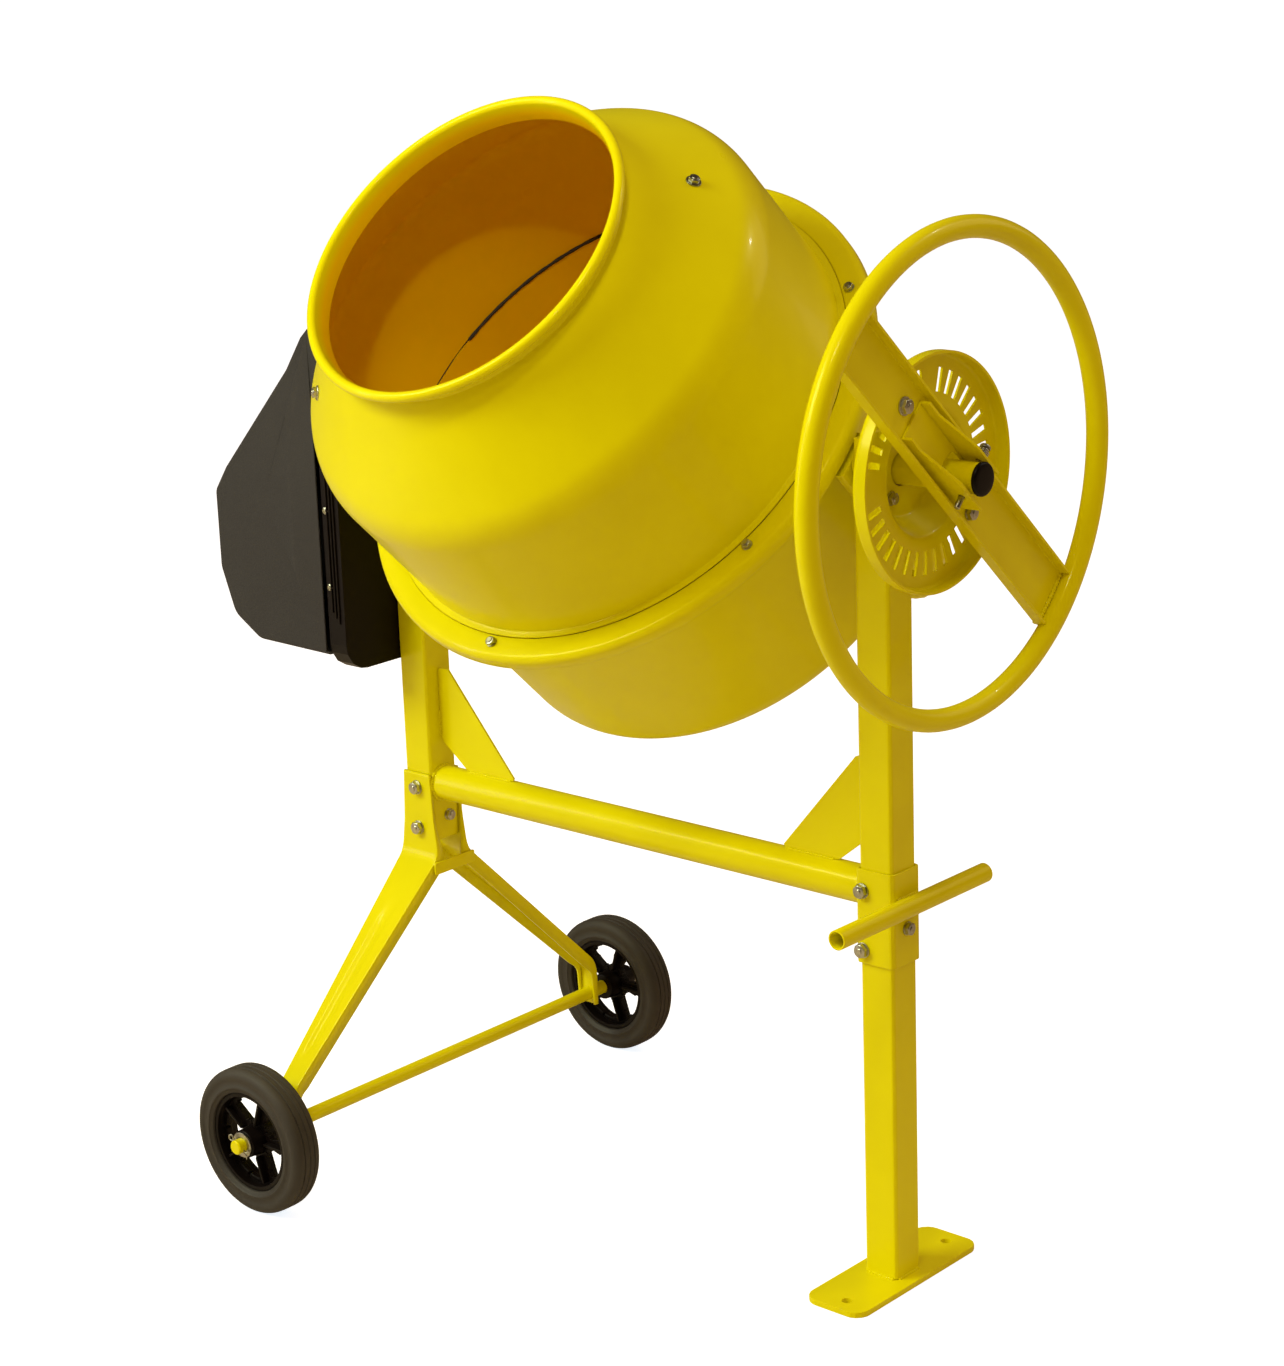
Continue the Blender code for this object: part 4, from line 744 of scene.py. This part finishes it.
def tyre_profile():
    """Wall, shoulder and tread from (radius, height) points; the other side is its mirror image."""
    half = [(TYRE - 0.9 * MM, 0.0), (TYRE - 0.9 * MM, 0.8 * MM), (TYRE, 1.4 * MM), (TYRE, 6.0 * MM),
            (TYRE - 1.2 * MM, 6.6 * MM),
            (TYRE - 1.2 * MM, 7.4 * MM), (TYRE - 0.2 * MM, 8.0 * MM)]
    shoulder = arc((TYRE - 9.2 * MM, HALF_TYRE - 9 * MM), 9 * MM, 6, 80, 8)
    wall = [(0.0710, HALF_TYRE - 0.3 * MM), (0.0700, HALF_TYRE - 0.9 * MM), (0.0640, HALF_TYRE - 0.9 * MM),
            (0.0632, HALF_TYRE), (0.0612, HALF_TYRE), (0.0604, HALF_TYRE - 1.2 * MM),
            (BEAD + 1 * MM, HALF_TYRE - 1.6 * MM),
            (BEAD, HALF_TYRE - 3 * MM)]
    line = np.concatenate([half, shoulder, wall])
    return np.concatenate([line[::-1] * (1, -1), line[1:]])


def web(inner, outer_edge, windows, thick, middle):
    """A spoked disc: rings of points from the boss to the rim, faces left out in the windows."""
    rings = np.array([inner, 0.0215, 0.0235, 0.030, 0.038, 0.0445, 0.0465, outer_edge])
    t = np.linspace(0, 2 * np.pi, 120, endpoint=False)
    points = np.stack([rings[:, None] * np.cos(t), rings[:, None] * np.sin(t),
                       np.full((len(rings), len(t)), middle)], -1)
    place = (np.degrees(t) % (360 / windows)) / (360 / windows)
    half = np.array([0, 0.14, 0.30, 0.33, 0.34, 0.26, 0, 0])[:len(rings) - 1]
    keep = np.abs(place - 0.5)[None] > half[:, None]
    return grid(points, keep=keep)


for side, name in ((-1, "front"), (1, "back")):
    centre = (-POST_X, side * 0.288, TYRE)
    body = name + "_wheel"
    piece(name + "_tyre_tread", in_stand(placed(turned(tyre_profile(), 144), ALONG_Y, centre)), body,
          "tyre_rubber",
          name + "_tyre", sharp=50)
    rim_r, boss = BEAD - GAP, AXLE + 9 * MM
    rim = rounded([(rim_r - 5 * MM, -14 * MM), (rim_r, -14 * MM), (rim_r, 14 * MM),
                   (rim_r - 5 * MM, 14 * MM)], 0.8 * MM, 2)
    core = rounded([(AXLE + GAP, -22 * MM), (boss - 1.5 * MM, -22 * MM), (boss, 0),
                    (boss - 1.5 * MM, 22 * MM),
                    (AXLE + GAP, 22 * MM)], [0.5 * MM, 1.5 * MM, 0.5 * MM, 1.5 * MM, 0.5 * MM], 3)
    ribs = []
    for k in range(5):
        rib = slab(rectangle(30 * MM, 3 * MM, 1.4 * MM, centre=(33.5 * MM, 0)), -11 * MM, 11 * MM, 0.8 * MM)
        a = 2 * np.pi * k / 5
        ribs.append(placed(rib, np.array([[np.cos(a), -np.sin(a), 0], [np.sin(a), np.cos(a), 0], [0, 0, 1]])))
    piece(name + "_hub_rim", in_stand(placed(together(turned(rim, 96), turned(core, 64), *ribs), ALONG_Y,
                                             centre)), body,
          "black_plastic", name + "_hub")
    disc = piece(name + "_hub_web", in_stand(placed(web(boss - 0.5 * MM, rim_r - 4.5 * MM, 5, 7 * MM, 0),
                                                    ALONG_Y, centre)),
                 body, "black_plastic")
    thicken(disc, 7 * MM, 0.0)
    soften(disc, 0.9 * MM)

AXLE_END = 0.322
axle = [(0, -AXLE_END), (AXLE - 1.2 * MM, -AXLE_END), (AXLE, -AXLE_END + 1.2 * MM),
        (AXLE, AXLE_END - 1.2 * MM),
        (AXLE - 1.2 * MM, AXLE_END), (0, AXLE_END)]
piece("wheel_axle_bar", in_stand(placed(turned(axle, 40, closed=False), ALONG_Y, (-POST_X, 0, TYRE))),
      "stand",
      "yellow_paint", "wheel_axle")

# %% [markdown]
# A washer and a split pin keep each wheel on. The pin is a wire bent double: an eye, two legs through the
# axle and two tails bent apart, so it is one round section carried along that line.

# %% Washers and split pins
def wire(line, radius, sides=10):
    """A round section carried along a flat line: the circle stands on the line's normal and the plane's."""
    line = np.array(line, float)
    ahead = np.gradient(line, axis=0)
    ahead /= np.linalg.norm(ahead, axis=1, keepdims=True)
    flat = np.linalg.svd(line - line.mean(0))[2][2]
    side = np.cross(ahead, flat)
    t = np.linspace(0, 2 * np.pi, sides, endpoint=False)
    size = np.full(len(line), radius)
    size[0] = size[-1] = radius * 0.02
    return grid(line[:, None] + size[:, None, None] * (side[:, None] * np.cos(t)[:, None]
                                                       + flat * np.sin(t)[:, None]))


eye = arc((0, 14 * MM), 3.2 * MM, 295, -115, 20)
left_tail = [(-0.9 * MM, -11 * MM), (-2.4 * MM, -14 * MM), (-6 * MM, -16 * MM)]
right_tail = [(6 * MM, -15 * MM), (2.4 * MM, -13.6 * MM), (0.9 * MM, -11 * MM)]
pin_line = np.concatenate([right_tail, eye, left_tail])
flat_pin = np.concatenate([pin_line, 0 * pin_line[:, :1]], 1)
for side, name in ((-1, "front"), (1, "back")):
    hub_end = side * (0.288 + 22 * MM)
    ring = placed(turned([(AXLE + 0.4 * MM, 0.3 * MM), (14 * MM, 0.3 * MM), (14 * MM, 1.9 * MM),
                          (13.4 * MM, 2.2 * MM),
                          (AXLE + 0.4 * MM, 2.2 * MM)], 48), ALONG_Y * (1, 1, side), (-POST_X, hub_end, TYRE))
    piece(name + "_axle_washer", in_stand(ring), "stand", "zinc_plate")
    pin = placed(wire(flat_pin, 0.95 * MM), np.array([[0.5, -0.866, 0], [0, 0, 1], [0.866, 0.5, 0]]),
                 (-POST_X, hub_end + side * 6 * MM, TYRE))
    piece(name + "_split_pin", in_stand(pin), "stand", "zinc_plate", sharp=80)

# %% [markdown]
# ## Locking disc
# The disc is dished sheet: a flat boss against the post, a cone out to a flat ring full of slots, and a rim
# turned outwards. It is a polar grid. Six columns belong to each ten-degree pitch, and two of them bend so
# that they keep a fixed distance apart, asin(half the slot's width / radius), which gives straight-sided
# slots. The faces between those two columns are left out on the slotted ring.

# %% Slotted disc
DISC_X, DISC_RADIUS, SHEET = 0.370, 0.115, 3 * MM
SLOT_IN, SLOT_OUT, SLOT_HALF, SLOT_PITCH = 75.5 * MM, 98.5 * MM, 3.2 * MM, 10.0
PLAIN = (4, 5, 31)                  # pitches without a slot
seat = POST_X + HALF_POST + GAP + SHEET / 2
rim = DISC_RADIUS - SHEET / 2
profile = np.concatenate([
    [(16.5 * MM, seat), (43.5 * MM, seat), (45.8 * MM, seat + 0.5 * MM), (47.6 * MM, seat + 2.0 * MM),
     (61.4 * MM, DISC_X - 2.2 * MM), (63.2 * MM, DISC_X - 0.6 * MM), (65.5 * MM, DISC_X), (72 * MM, DISC_X),
     (SLOT_IN, DISC_X), (83 * MM, DISC_X), (91 * MM, DISC_X), (SLOT_OUT, DISC_X), (103 * MM, DISC_X)],
    arc((rim - 5 * MM, DISC_X + 5 * MM), 5 * MM, -90, 0, 5),
    [(rim, DISC_X + 10 * MM), (rim, DISC_X + 15.5 * MM)]])
radius, x = profile[:, :1], profile[:, 1:]
slot_edge = np.degrees(np.arcsin(SLOT_HALF / np.clip(radius, 70 * MM, 105 * MM)))
column = np.tile([-5.0, -3.6, -1.0, 0.0, 1.0, 3.6], 36)
inside_slot = np.tile([0, 0, 1, 0, 1, 0], 36)
pitch = np.repeat(np.arange(36), 6)
lean = np.degrees(np.arctan2(-DRUM_AXIS[1], DRUM_AXIS[2]))
turn = np.radians(180 + lean + pitch * SLOT_PITCH + np.where(inside_slot, column * slot_edge, column))
points = np.stack([x + 0 * turn, radius * np.sin(turn), -radius * np.cos(turn)], -1)
slotted = np.isin(np.tile(np.arange(6), 36), (2, 3)) & ~np.isin(pitch, PLAIN)
in_ring = (profile[:-1, 0] > SLOT_IN - 1e-6) & (profile[1:, 0] < SLOT_OUT + 1e-6) & (profile[:-1,
                                                                                             1] == DISC_X)
disc = piece("locking_disc_sheet", in_stand(placed(grid(points, keep=~(in_ring[:, None] & slotted[None])),
                                                   shift=(0, 0, AXIS_HEIGHT))),
             "stand", "yellow_paint", "locking_disc", away_from=GROUND + (0, 0, AXIS_HEIGHT), sharp=50)
thicken(disc, SHEET, 0.0)
soften(disc, 0.5 * MM)
for k, angle in enumerate(np.radians([145, 325])):
    bolt(f"disc_bolt_{k + 1}", (seat + SHEET / 2 + 0.1 * MM, 31 * MM * np.sin(angle),
                                AXIS_HEIGHT - 31 * MM * np.cos(angle)),
         (1, 0, 0), "stand", across=11 * MM, head=4.2 * MM, plate=7 * MM, spin=0.4 + k)

# %% [markdown]
# ## Handwheel
# The rim is a bent tube, so it is a torus: a circle carried round the tilt axis. The channel spoke and the
# folded bracket keep their CAD shapes with softened edges, and get their welds. The spring is a helix.

# %% Rim, welds, pin and spring
WHEEL_X, WHEEL_RADIUS, WHEEL_TUBE, PIN_X = 0.409, 0.230, 0.011, 0.421
SPOKE_HALF, SPOKE_BACK = 0.031, 0.3985
t = np.linspace(0, 2 * np.pi, 28, endpoint=False)
ring = turned(np.stack([WHEEL_RADIUS + WHEEL_TUBE * np.cos(t), WHEEL_TUBE * np.sin(t)], 1), 180)
piece("handwheel_rim", in_cradle(placed(ring, ALONG_X, (WHEEL_X, 0, 0))), "handwheel", "yellow_paint",
      "handwheel_ring",
      sharp=80)
welds = []
for end in (-1, 1):
    y = np.linspace(-SPOKE_HALF, SPOKE_HALF, 80)
    z = end * np.sqrt((WHEEL_RADIUS - WHEEL_TUBE) ** 2 - y ** 2)
    welds.append(bead_along(np.stack([0 * y + SPOKE_BACK + 3 * MM, y, z], 1), 2.4 * MM))
    welds.append(bead_along(np.stack([0 * y + SPOKE_BACK, y, z], 1), 2.0 * MM))
for y in (-21.5 * MM, 21.5 * MM):
    welds.append(bead_along(straight((SPOKE_BACK + 3.2 * MM, y, -0.020), (SPOKE_BACK + 3.2 * MM, y, 0.010)),
                            1.3 * MM))
    welds.append(bead_along(straight((SPOKE_BACK + 3.2 * MM, y, 0.055), (SPOKE_BACK + 3.2 * MM, y, 0.090)),
                            1.3 * MM))
piece("handwheel_welds", in_cradle(together(*welds)), "handwheel", "yellow_paint", sharp=80)
for k, z in enumerate((0.108, -0.045)):
    bolt(f"spoke_bolt_{k + 1}", (SPOKE_BACK + 3.15 * MM, (0.004, -0.012)[k], z), (1, 0, 0), "handwheel",
         across=13 * MM,
         head=5.0 * MM, plate=(9 * MM, 7.5 * MM)[k], frame_of=in_cradle, spin=0.7)
pin = [(0, -0.034), (2.4 * MM, -0.034), (3 * MM, -0.0334), (3 * MM, 0.0325), (5.5 * MM, 0.0325),
       (5.5 * MM, 0.0345),
       (4.6 * MM, 0.0358), (2.6 * MM, 0.0364), (0, 0.0365)]
piece("pivot_pin_rivet", in_cradle(placed(turned(pin, 32, closed=False), ALONG_Y, (PIN_X, 0, 0))), "cradle",
      "zinc_plate", "pivot_pin")
a = np.linspace(0, 4 * 2 * np.pi, 200)
helix = np.stack([5.2 * MM * np.cos(a), 5.2 * MM * np.sin(a), 0.0232 + 1.84 * MM * a / (2 * np.pi)], 1)
coil = bead_along(helix, 0.8 * MM, ripple=0.0)
piece("lock_spring_coil", in_cradle(placed(coil, ALONG_Y, (PIN_X, 0, 0))), "handwheel", "bright_steel",
      "lock_spring",
      sharp=80)

# %% [markdown]
# ## Tilt axle and its cap
# The tube the handwheel hangs on is turned with broken edges, and the black cap is a shallow dome with a
# plug that goes into the tube.

# %% Trunnions and cap
ROOT = 0.2865 + 0.0065 + GAP
AXLE_TUBE, TUBE_END, CAP_END = 0.015, 0.432, 0.4375
for name, bore, low, high in (("left_trunnion", 8 * MM, -0.349, -ROOT),
                              ("right_trunnion", 11.5 * MM, ROOT, TUBE_END)):
    piece(name + "_tube", in_cradle(placed(turned(pipe_profile(AXLE_TUBE, bore, low, high), 56), ALONG_X)),
          "cradle",
          "yellow_paint", name)
cap_line = np.concatenate([[(0, TUBE_END - 5 * MM), (10.4 * MM, TUBE_END - 5 * MM),
                            (11 * MM, TUBE_END - 4.4 * MM),
                            (11 * MM, TUBE_END + GAP), (16.0 * MM, TUBE_END + GAP),
                            (16.4 * MM, TUBE_END + 0.7 * MM),
                            (16.4 * MM, CAP_END - 3.4 * MM)],
                           arc((13.4 * MM, CAP_END - 3.4 * MM), 3 * MM, 0, 80, 6),
                           [(10 * MM, CAP_END - 0.15 * MM), (0, CAP_END)]])
piece("axle_cap", in_cradle(placed(turned(cap_line, 56, closed=False), ALONG_X)), "cradle", "black_plastic",
      "axle_end_cap")

# %% [markdown]
# ## Drive housing
# The outer cover is one moulding, flat over the pulley and deep over the motor. Its side view is an outline
# with generous corners; raised from front to back with quarter-round edges it becomes the cover, and the
# faces on the side where it meets the inner cover are left out, so Solidify can give it a wall.

# %% Outer cover
HALF_DEEP, JOINT, OUTER, LOW, HIGH = 0.097, -0.3653, -0.540, 0.572, 0.938
corners = [(JOINT, LOW), (JOINT, HIGH), (-0.384, 0.921), (-0.410, 0.884), (-0.520, 0.766), (OUTER, 0.738),
           (OUTER, 0.650), (-0.521, 0.598), (-0.482, LOW + 2 * MM)]
bends = np.array([4.2, 4.2, 8, 20, 16, 14, 24, 24, 22]) * MM
steps = 5
outline = rounded(corners, bends, steps)
cover = slab(outline, -HALF_DEEP, HALF_DEEP, 4 * MM, 5)
columns = len(outline)
rows = len(cover[0]) // columns
flat_side = np.zeros((rows - 1, columns), bool)
flat_side[1:-1] = ((outline[:, 0] > JOINT - 0.5 * MM) & (np.roll(outline[:, 0], -1) > JOINT - 0.5 * MM))[None]
cover = cover[0], cover[1][~flat_side.reshape(-1)]
cover = placed(cover, np.array([[1, 0, 0], [0, 0, 1], [0, 1, 0]]))
shell = piece("housing_outer_shell", in_stand(cover), "stand", "grey_plastic", "housing_outer_cover",
              away_from=GROUND + (-0.44, 0, 0.75), sharp=45)
thicken(shell, 2.6 * MM, -1.0)
shell.modifiers.new("flat_faces", "WEIGHTED_NORMAL").keep_sharp = True

# %% [markdown]
# The inner cover has ribs moulded down its front for stiffness, and screws that join it to the outer one.

# %% Ribs, screws and buttons
ribs = []
for k, rib_x in enumerate((-0.3465, -0.3515, -0.3565)):
    for side in (-1, 1):
        rib = slab(rectangle(2.2 * MM, 0.250 - 0.012 * k, 1.0 * MM, centre=(0, 0.735)), 0, 1.8 * MM, 0.6 * MM)
        ribs.append(placed(rib, np.array([[1, 0, 0], [0, 0, -side], [0, side * side, 0]]),
                           (rib_x, side * -HALF_DEEP, 0)))
piece("housing_ribs", in_stand(together(*ribs)), "stand", "black_plastic")


def screw(name, at, direction):
    """A pan-head screw: a low dome with a cross let into it, a dip where either arm of the cross is near."""
    radius = np.linspace(0, 4.0 * MM, 9)[:, None]
    t = np.linspace(0, 2 * np.pi, 40, endpoint=False)
    px, py = radius * np.cos(t), radius * np.sin(t)
    cross = (np.minimum(np.abs(px), np.abs(py)) < 0.7 * MM) & (radius < 2.4 * MM)
    dome = 2.2 * MM * np.sqrt(np.clip(1 - (radius / (4.2 * MM)) ** 2, 0, 1)) - 0.9 * MM * cross
    points = np.stack([px, py, dome + 0 * t], -1)
    edge = np.stack([px[-1:], py[-1:], 0 * px[-1:]], -1)
    shut = np.zeros_like(edge)
    head = grid(np.concatenate([points, edge, shut]))
    return piece(name, in_stand(placed(head, towards(direction), at)), "stand", "zinc_plate", sharp=30)


for k, (height, face) in enumerate(((0.735, -1), (0.650, -1), (0.840, -1), (0.735, 1), (0.650, 1),
                                    (0.840, 1))):
    screw(f"housing_screw_{k + 1}", (-0.3593, face * (HALF_DEEP + 0.05 * MM), height), (0, face, 0))
for name, slot, z in (("start_button", "green_plastic", 0.719), ("stop_button", "red_plastic", 0.681)):
    cap_line = np.concatenate([[(0, 0), (10.5 * MM, 0), (10.5 * MM, 12.6 * MM)],
                               arc((9.1 * MM, 12.6 * MM), 1.4 * MM, 0, 80, 5),
                               [(7 * MM, 14.2 * MM), (4 * MM, 13.9 * MM), (0, 13.8 * MM)]])
    place = (-0.450, HALF_DEEP + GAP + 12 * MM, z)
    piece(name + "_cap", in_stand(placed(turned(cap_line, 48, closed=False), ALONG_Y, place)),
          name + "_body", slot, name)

# %% [markdown]
# ## Finishes on the pieces that stay
# A CAD node keeps its mesh and takes the finish of its slot. Hidden ones get it too, because the drum tilts
# and the underside, the gear and the axle come into view.

# %% Dress the CAD nodes
for name, node in nodes.items():
    node.data.materials.clear()
    node.data.materials.append(finishes[SLOT_OF[name]])
for name in ("gear_ring", "pinion", "drive_pulley", "drum_bearing_housing", "drum_axle", "drum_axle_nut",
             "motor_body", "motor_mount", "lock_tooth"):
    soften(nodes[name], 0.3 * MM, 1, weld=True)
print("nodes still shown:", sum(not node.hide_render for node in nodes.values()))

# %% [markdown]
# ## Floor, light and camera
# The floor is one wide pale sheet. A high soft light from the mouth's side does most of the work, a tall
# narrow one draws the long highlight down the drum, and a narrow spot reaches into the mouth. The surround
# looks white but lights the shade with a warm, dimmer tint, and the floor glows for the camera alone, so the
# stage stays white while the paint keeps its deep shade. Under neutral light the paint looks greener. The
# camera's rotation is written from its azimuth, elevation and roll, so the angle can be read from the code.

# %% Stage
def plain(name, colour, roughness):
    material = bpy.data.materials.new(name)
    material.use_nodes = True
    tree = material.node_tree
    cloud = add(tree, "ShaderNodeMix", {"Factor": noise(tree, 0.8, 3), "A": (*[c * 0.97 for c in colour], 1),
                                        "B": (*colour, 1)}, data_type="RGBA").outputs["Result"]
    tree.links.new(cloud, tree.nodes["Principled BSDF"].inputs["Base Color"])
    tree.nodes["Principled BSDF"].inputs["Roughness"].default_value = roughness
    return material


floor_mesh = bpy.data.meshes.new("floor")
floor_points, floor_faces = turned([(0, -0.2 * MM), (1, -0.2 * MM), (4, -0.2 * MM), (40, -0.2 * MM)], 64,
                                   closed=False)
floor_mesh.from_pydata(floor_points.tolist(), [], floor_faces.tolist())
FLOOR_COLOUR, FLOOR_GLOW, GLOW_COLOUR = (0.74, 0.66, 0.56), 0.95, (0.86, 0.93, 1.0, 1)
floor_paint = plain("floor_paint", FLOOR_COLOUR, 0.9)
ray = add(floor_paint.node_tree, "ShaderNodeLightPath")
glow = floor_paint.node_tree.nodes["Principled BSDF"].inputs
glow["Emission Color"].default_value = GLOW_COLOUR
lit = add(floor_paint.node_tree, "ShaderNodeMath", {0: ray.outputs["Is Camera Ray"], 1: FLOOR_GLOW},
          operation="MULTIPLY")
floor_paint.node_tree.links.new(lit.outputs[0], glow["Emission Strength"])
floor_mesh.materials.append(floor_paint)
floor = bpy.data.objects.new("floor", floor_mesh)
bpy.context.scene.collection.objects.link(floor)


def softbox(name, at, aim, size, power, colour=(1, 1, 1)):
    """A rectangular area light whose -Z looks from its place to its aim."""
    data = bpy.data.lights.new(name, "AREA")
    data.shape, data.size, data.size_y = "RECTANGLE", *size
    data.energy, data.color = power, colour
    made = bpy.data.objects.new(name, data)
    bpy.context.scene.collection.objects.link(made)
    made.location = at
    made.rotation_euler = (Vector(aim) - Vector(at)).to_track_quat("-Z", "Y").to_euler()
    return made


MIDDLE = (0, 0, 0.6)
softbox("key", (-1.6, -2.6, 3.0), MIDDLE, (1.8, 1.4), 92, (0.97, 1.0, 0.70))
softbox("streak", (-2.4, -2.2, 1.4), (0, -0.1, 0.9), (0.35, 1.8), 12)
softbox("glint", (1.7, 2.1, 3.3), (0.27, -0.06, 1.07), (0.10, 0.10), 8)
softbox("window", (1.0, -1.4, 3.0), (0.1, 0, 0.9), (0.35, 0.35), 12, (1.0, 0.92, 0.7))
softbox("back_fill", (1.6, 2.6, 2.2), MIDDLE, (1.6, 1.6), 9, (1.0, 0.78, 0.5))
WARM_SHADE, SHADE_STRENGTH, MIRRORED, SEEN_STRENGTH = (1.0, 0.64, 0.38), 0.42, 0.06, 0.97
MOUTH = TILT_CENTRE + RIM_HEIGHT * DRUM_AXIS
TORCH_DISTANCE, TORCH_DIRECTION = 2.2, np.array([0.45, -0.70, 0.555])
torch = bpy.data.lights.new("into_the_mouth", "SPOT")
torch.energy, torch.spot_size, torch.spot_blend, torch.shadow_soft_size = 60, np.radians(8.4), 0.2, 0.05
torch.color = (1.0, 0.92, 0.7)
made = bpy.data.objects.new("into_the_mouth", torch)
bpy.context.scene.collection.objects.link(made)
made.location = MOUTH + TORCH_DISTANCE * TORCH_DIRECTION
made.rotation_euler = (Vector(MOUTH) - made.location).to_track_quat("-Z", "Y").to_euler()
world = bpy.data.worlds.new("surround")
world.use_nodes = True
tree = world.node_tree
ray = add(tree, "ShaderNodeLightPath")
seen = add(tree, "ShaderNodeMix", {"Factor": ray.outputs["Is Camera Ray"], "A": (*WARM_SHADE, 1),
                                   "B": (1, 1, 1, 1)}, data_type="RGBA").outputs["Result"]
dim = add(tree, "ShaderNodeMix", {"Factor": ray.outputs["Is Glossy Ray"], "A": SHADE_STRENGTH, "B": MIRRORED})
strength = add(tree, "ShaderNodeMix", {"Factor": ray.outputs["Is Camera Ray"], "A": dim.outputs["Result"],
                                       "B": SEEN_STRENGTH})
tree.links.new(seen, tree.nodes["Background"].inputs["Color"])
tree.links.new(strength.outputs["Result"], tree.nodes["Background"].inputs["Strength"])
bpy.context.scene.world = world
bpy.context.scene.view_settings.view_transform = "Standard"
bpy.context.scene.view_settings.look = "None"

# %% Camera
AZIMUTH, ELEVATION, ROLL = np.radians([41.913, 15.5, -2.045])
FOCAL_LENGTH, STANDING_AT = 79.55, (2.07057, -2.23111, 1.41386)
back = np.array([np.sin(AZIMUTH) * np.cos(ELEVATION), -np.cos(AZIMUTH) * np.cos(ELEVATION),
                 np.sin(ELEVATION)])
level = np.array([np.cos(AZIMUTH), np.sin(AZIMUTH), 0])
plumb = np.cross(back, level)
right = np.cos(ROLL) * level + np.sin(ROLL) * plumb
upward = np.cos(ROLL) * plumb - np.sin(ROLL) * level
lens = bpy.data.cameras.new("camera")
lens.lens, lens.sensor_width, lens.dof.use_dof = FOCAL_LENGTH, 36.0, False
lens.clip_start, lens.clip_end = 0.05, 200
camera = bpy.data.objects.new("camera", lens)
bpy.context.scene.collection.objects.link(camera)
camera.location = STANDING_AT
camera.rotation_euler = Matrix(np.stack([right, upward, back], 1).tolist()).to_euler()
bpy.context.scene.camera = camera
print("camera at", [round(v, 3) for v in camera.location])
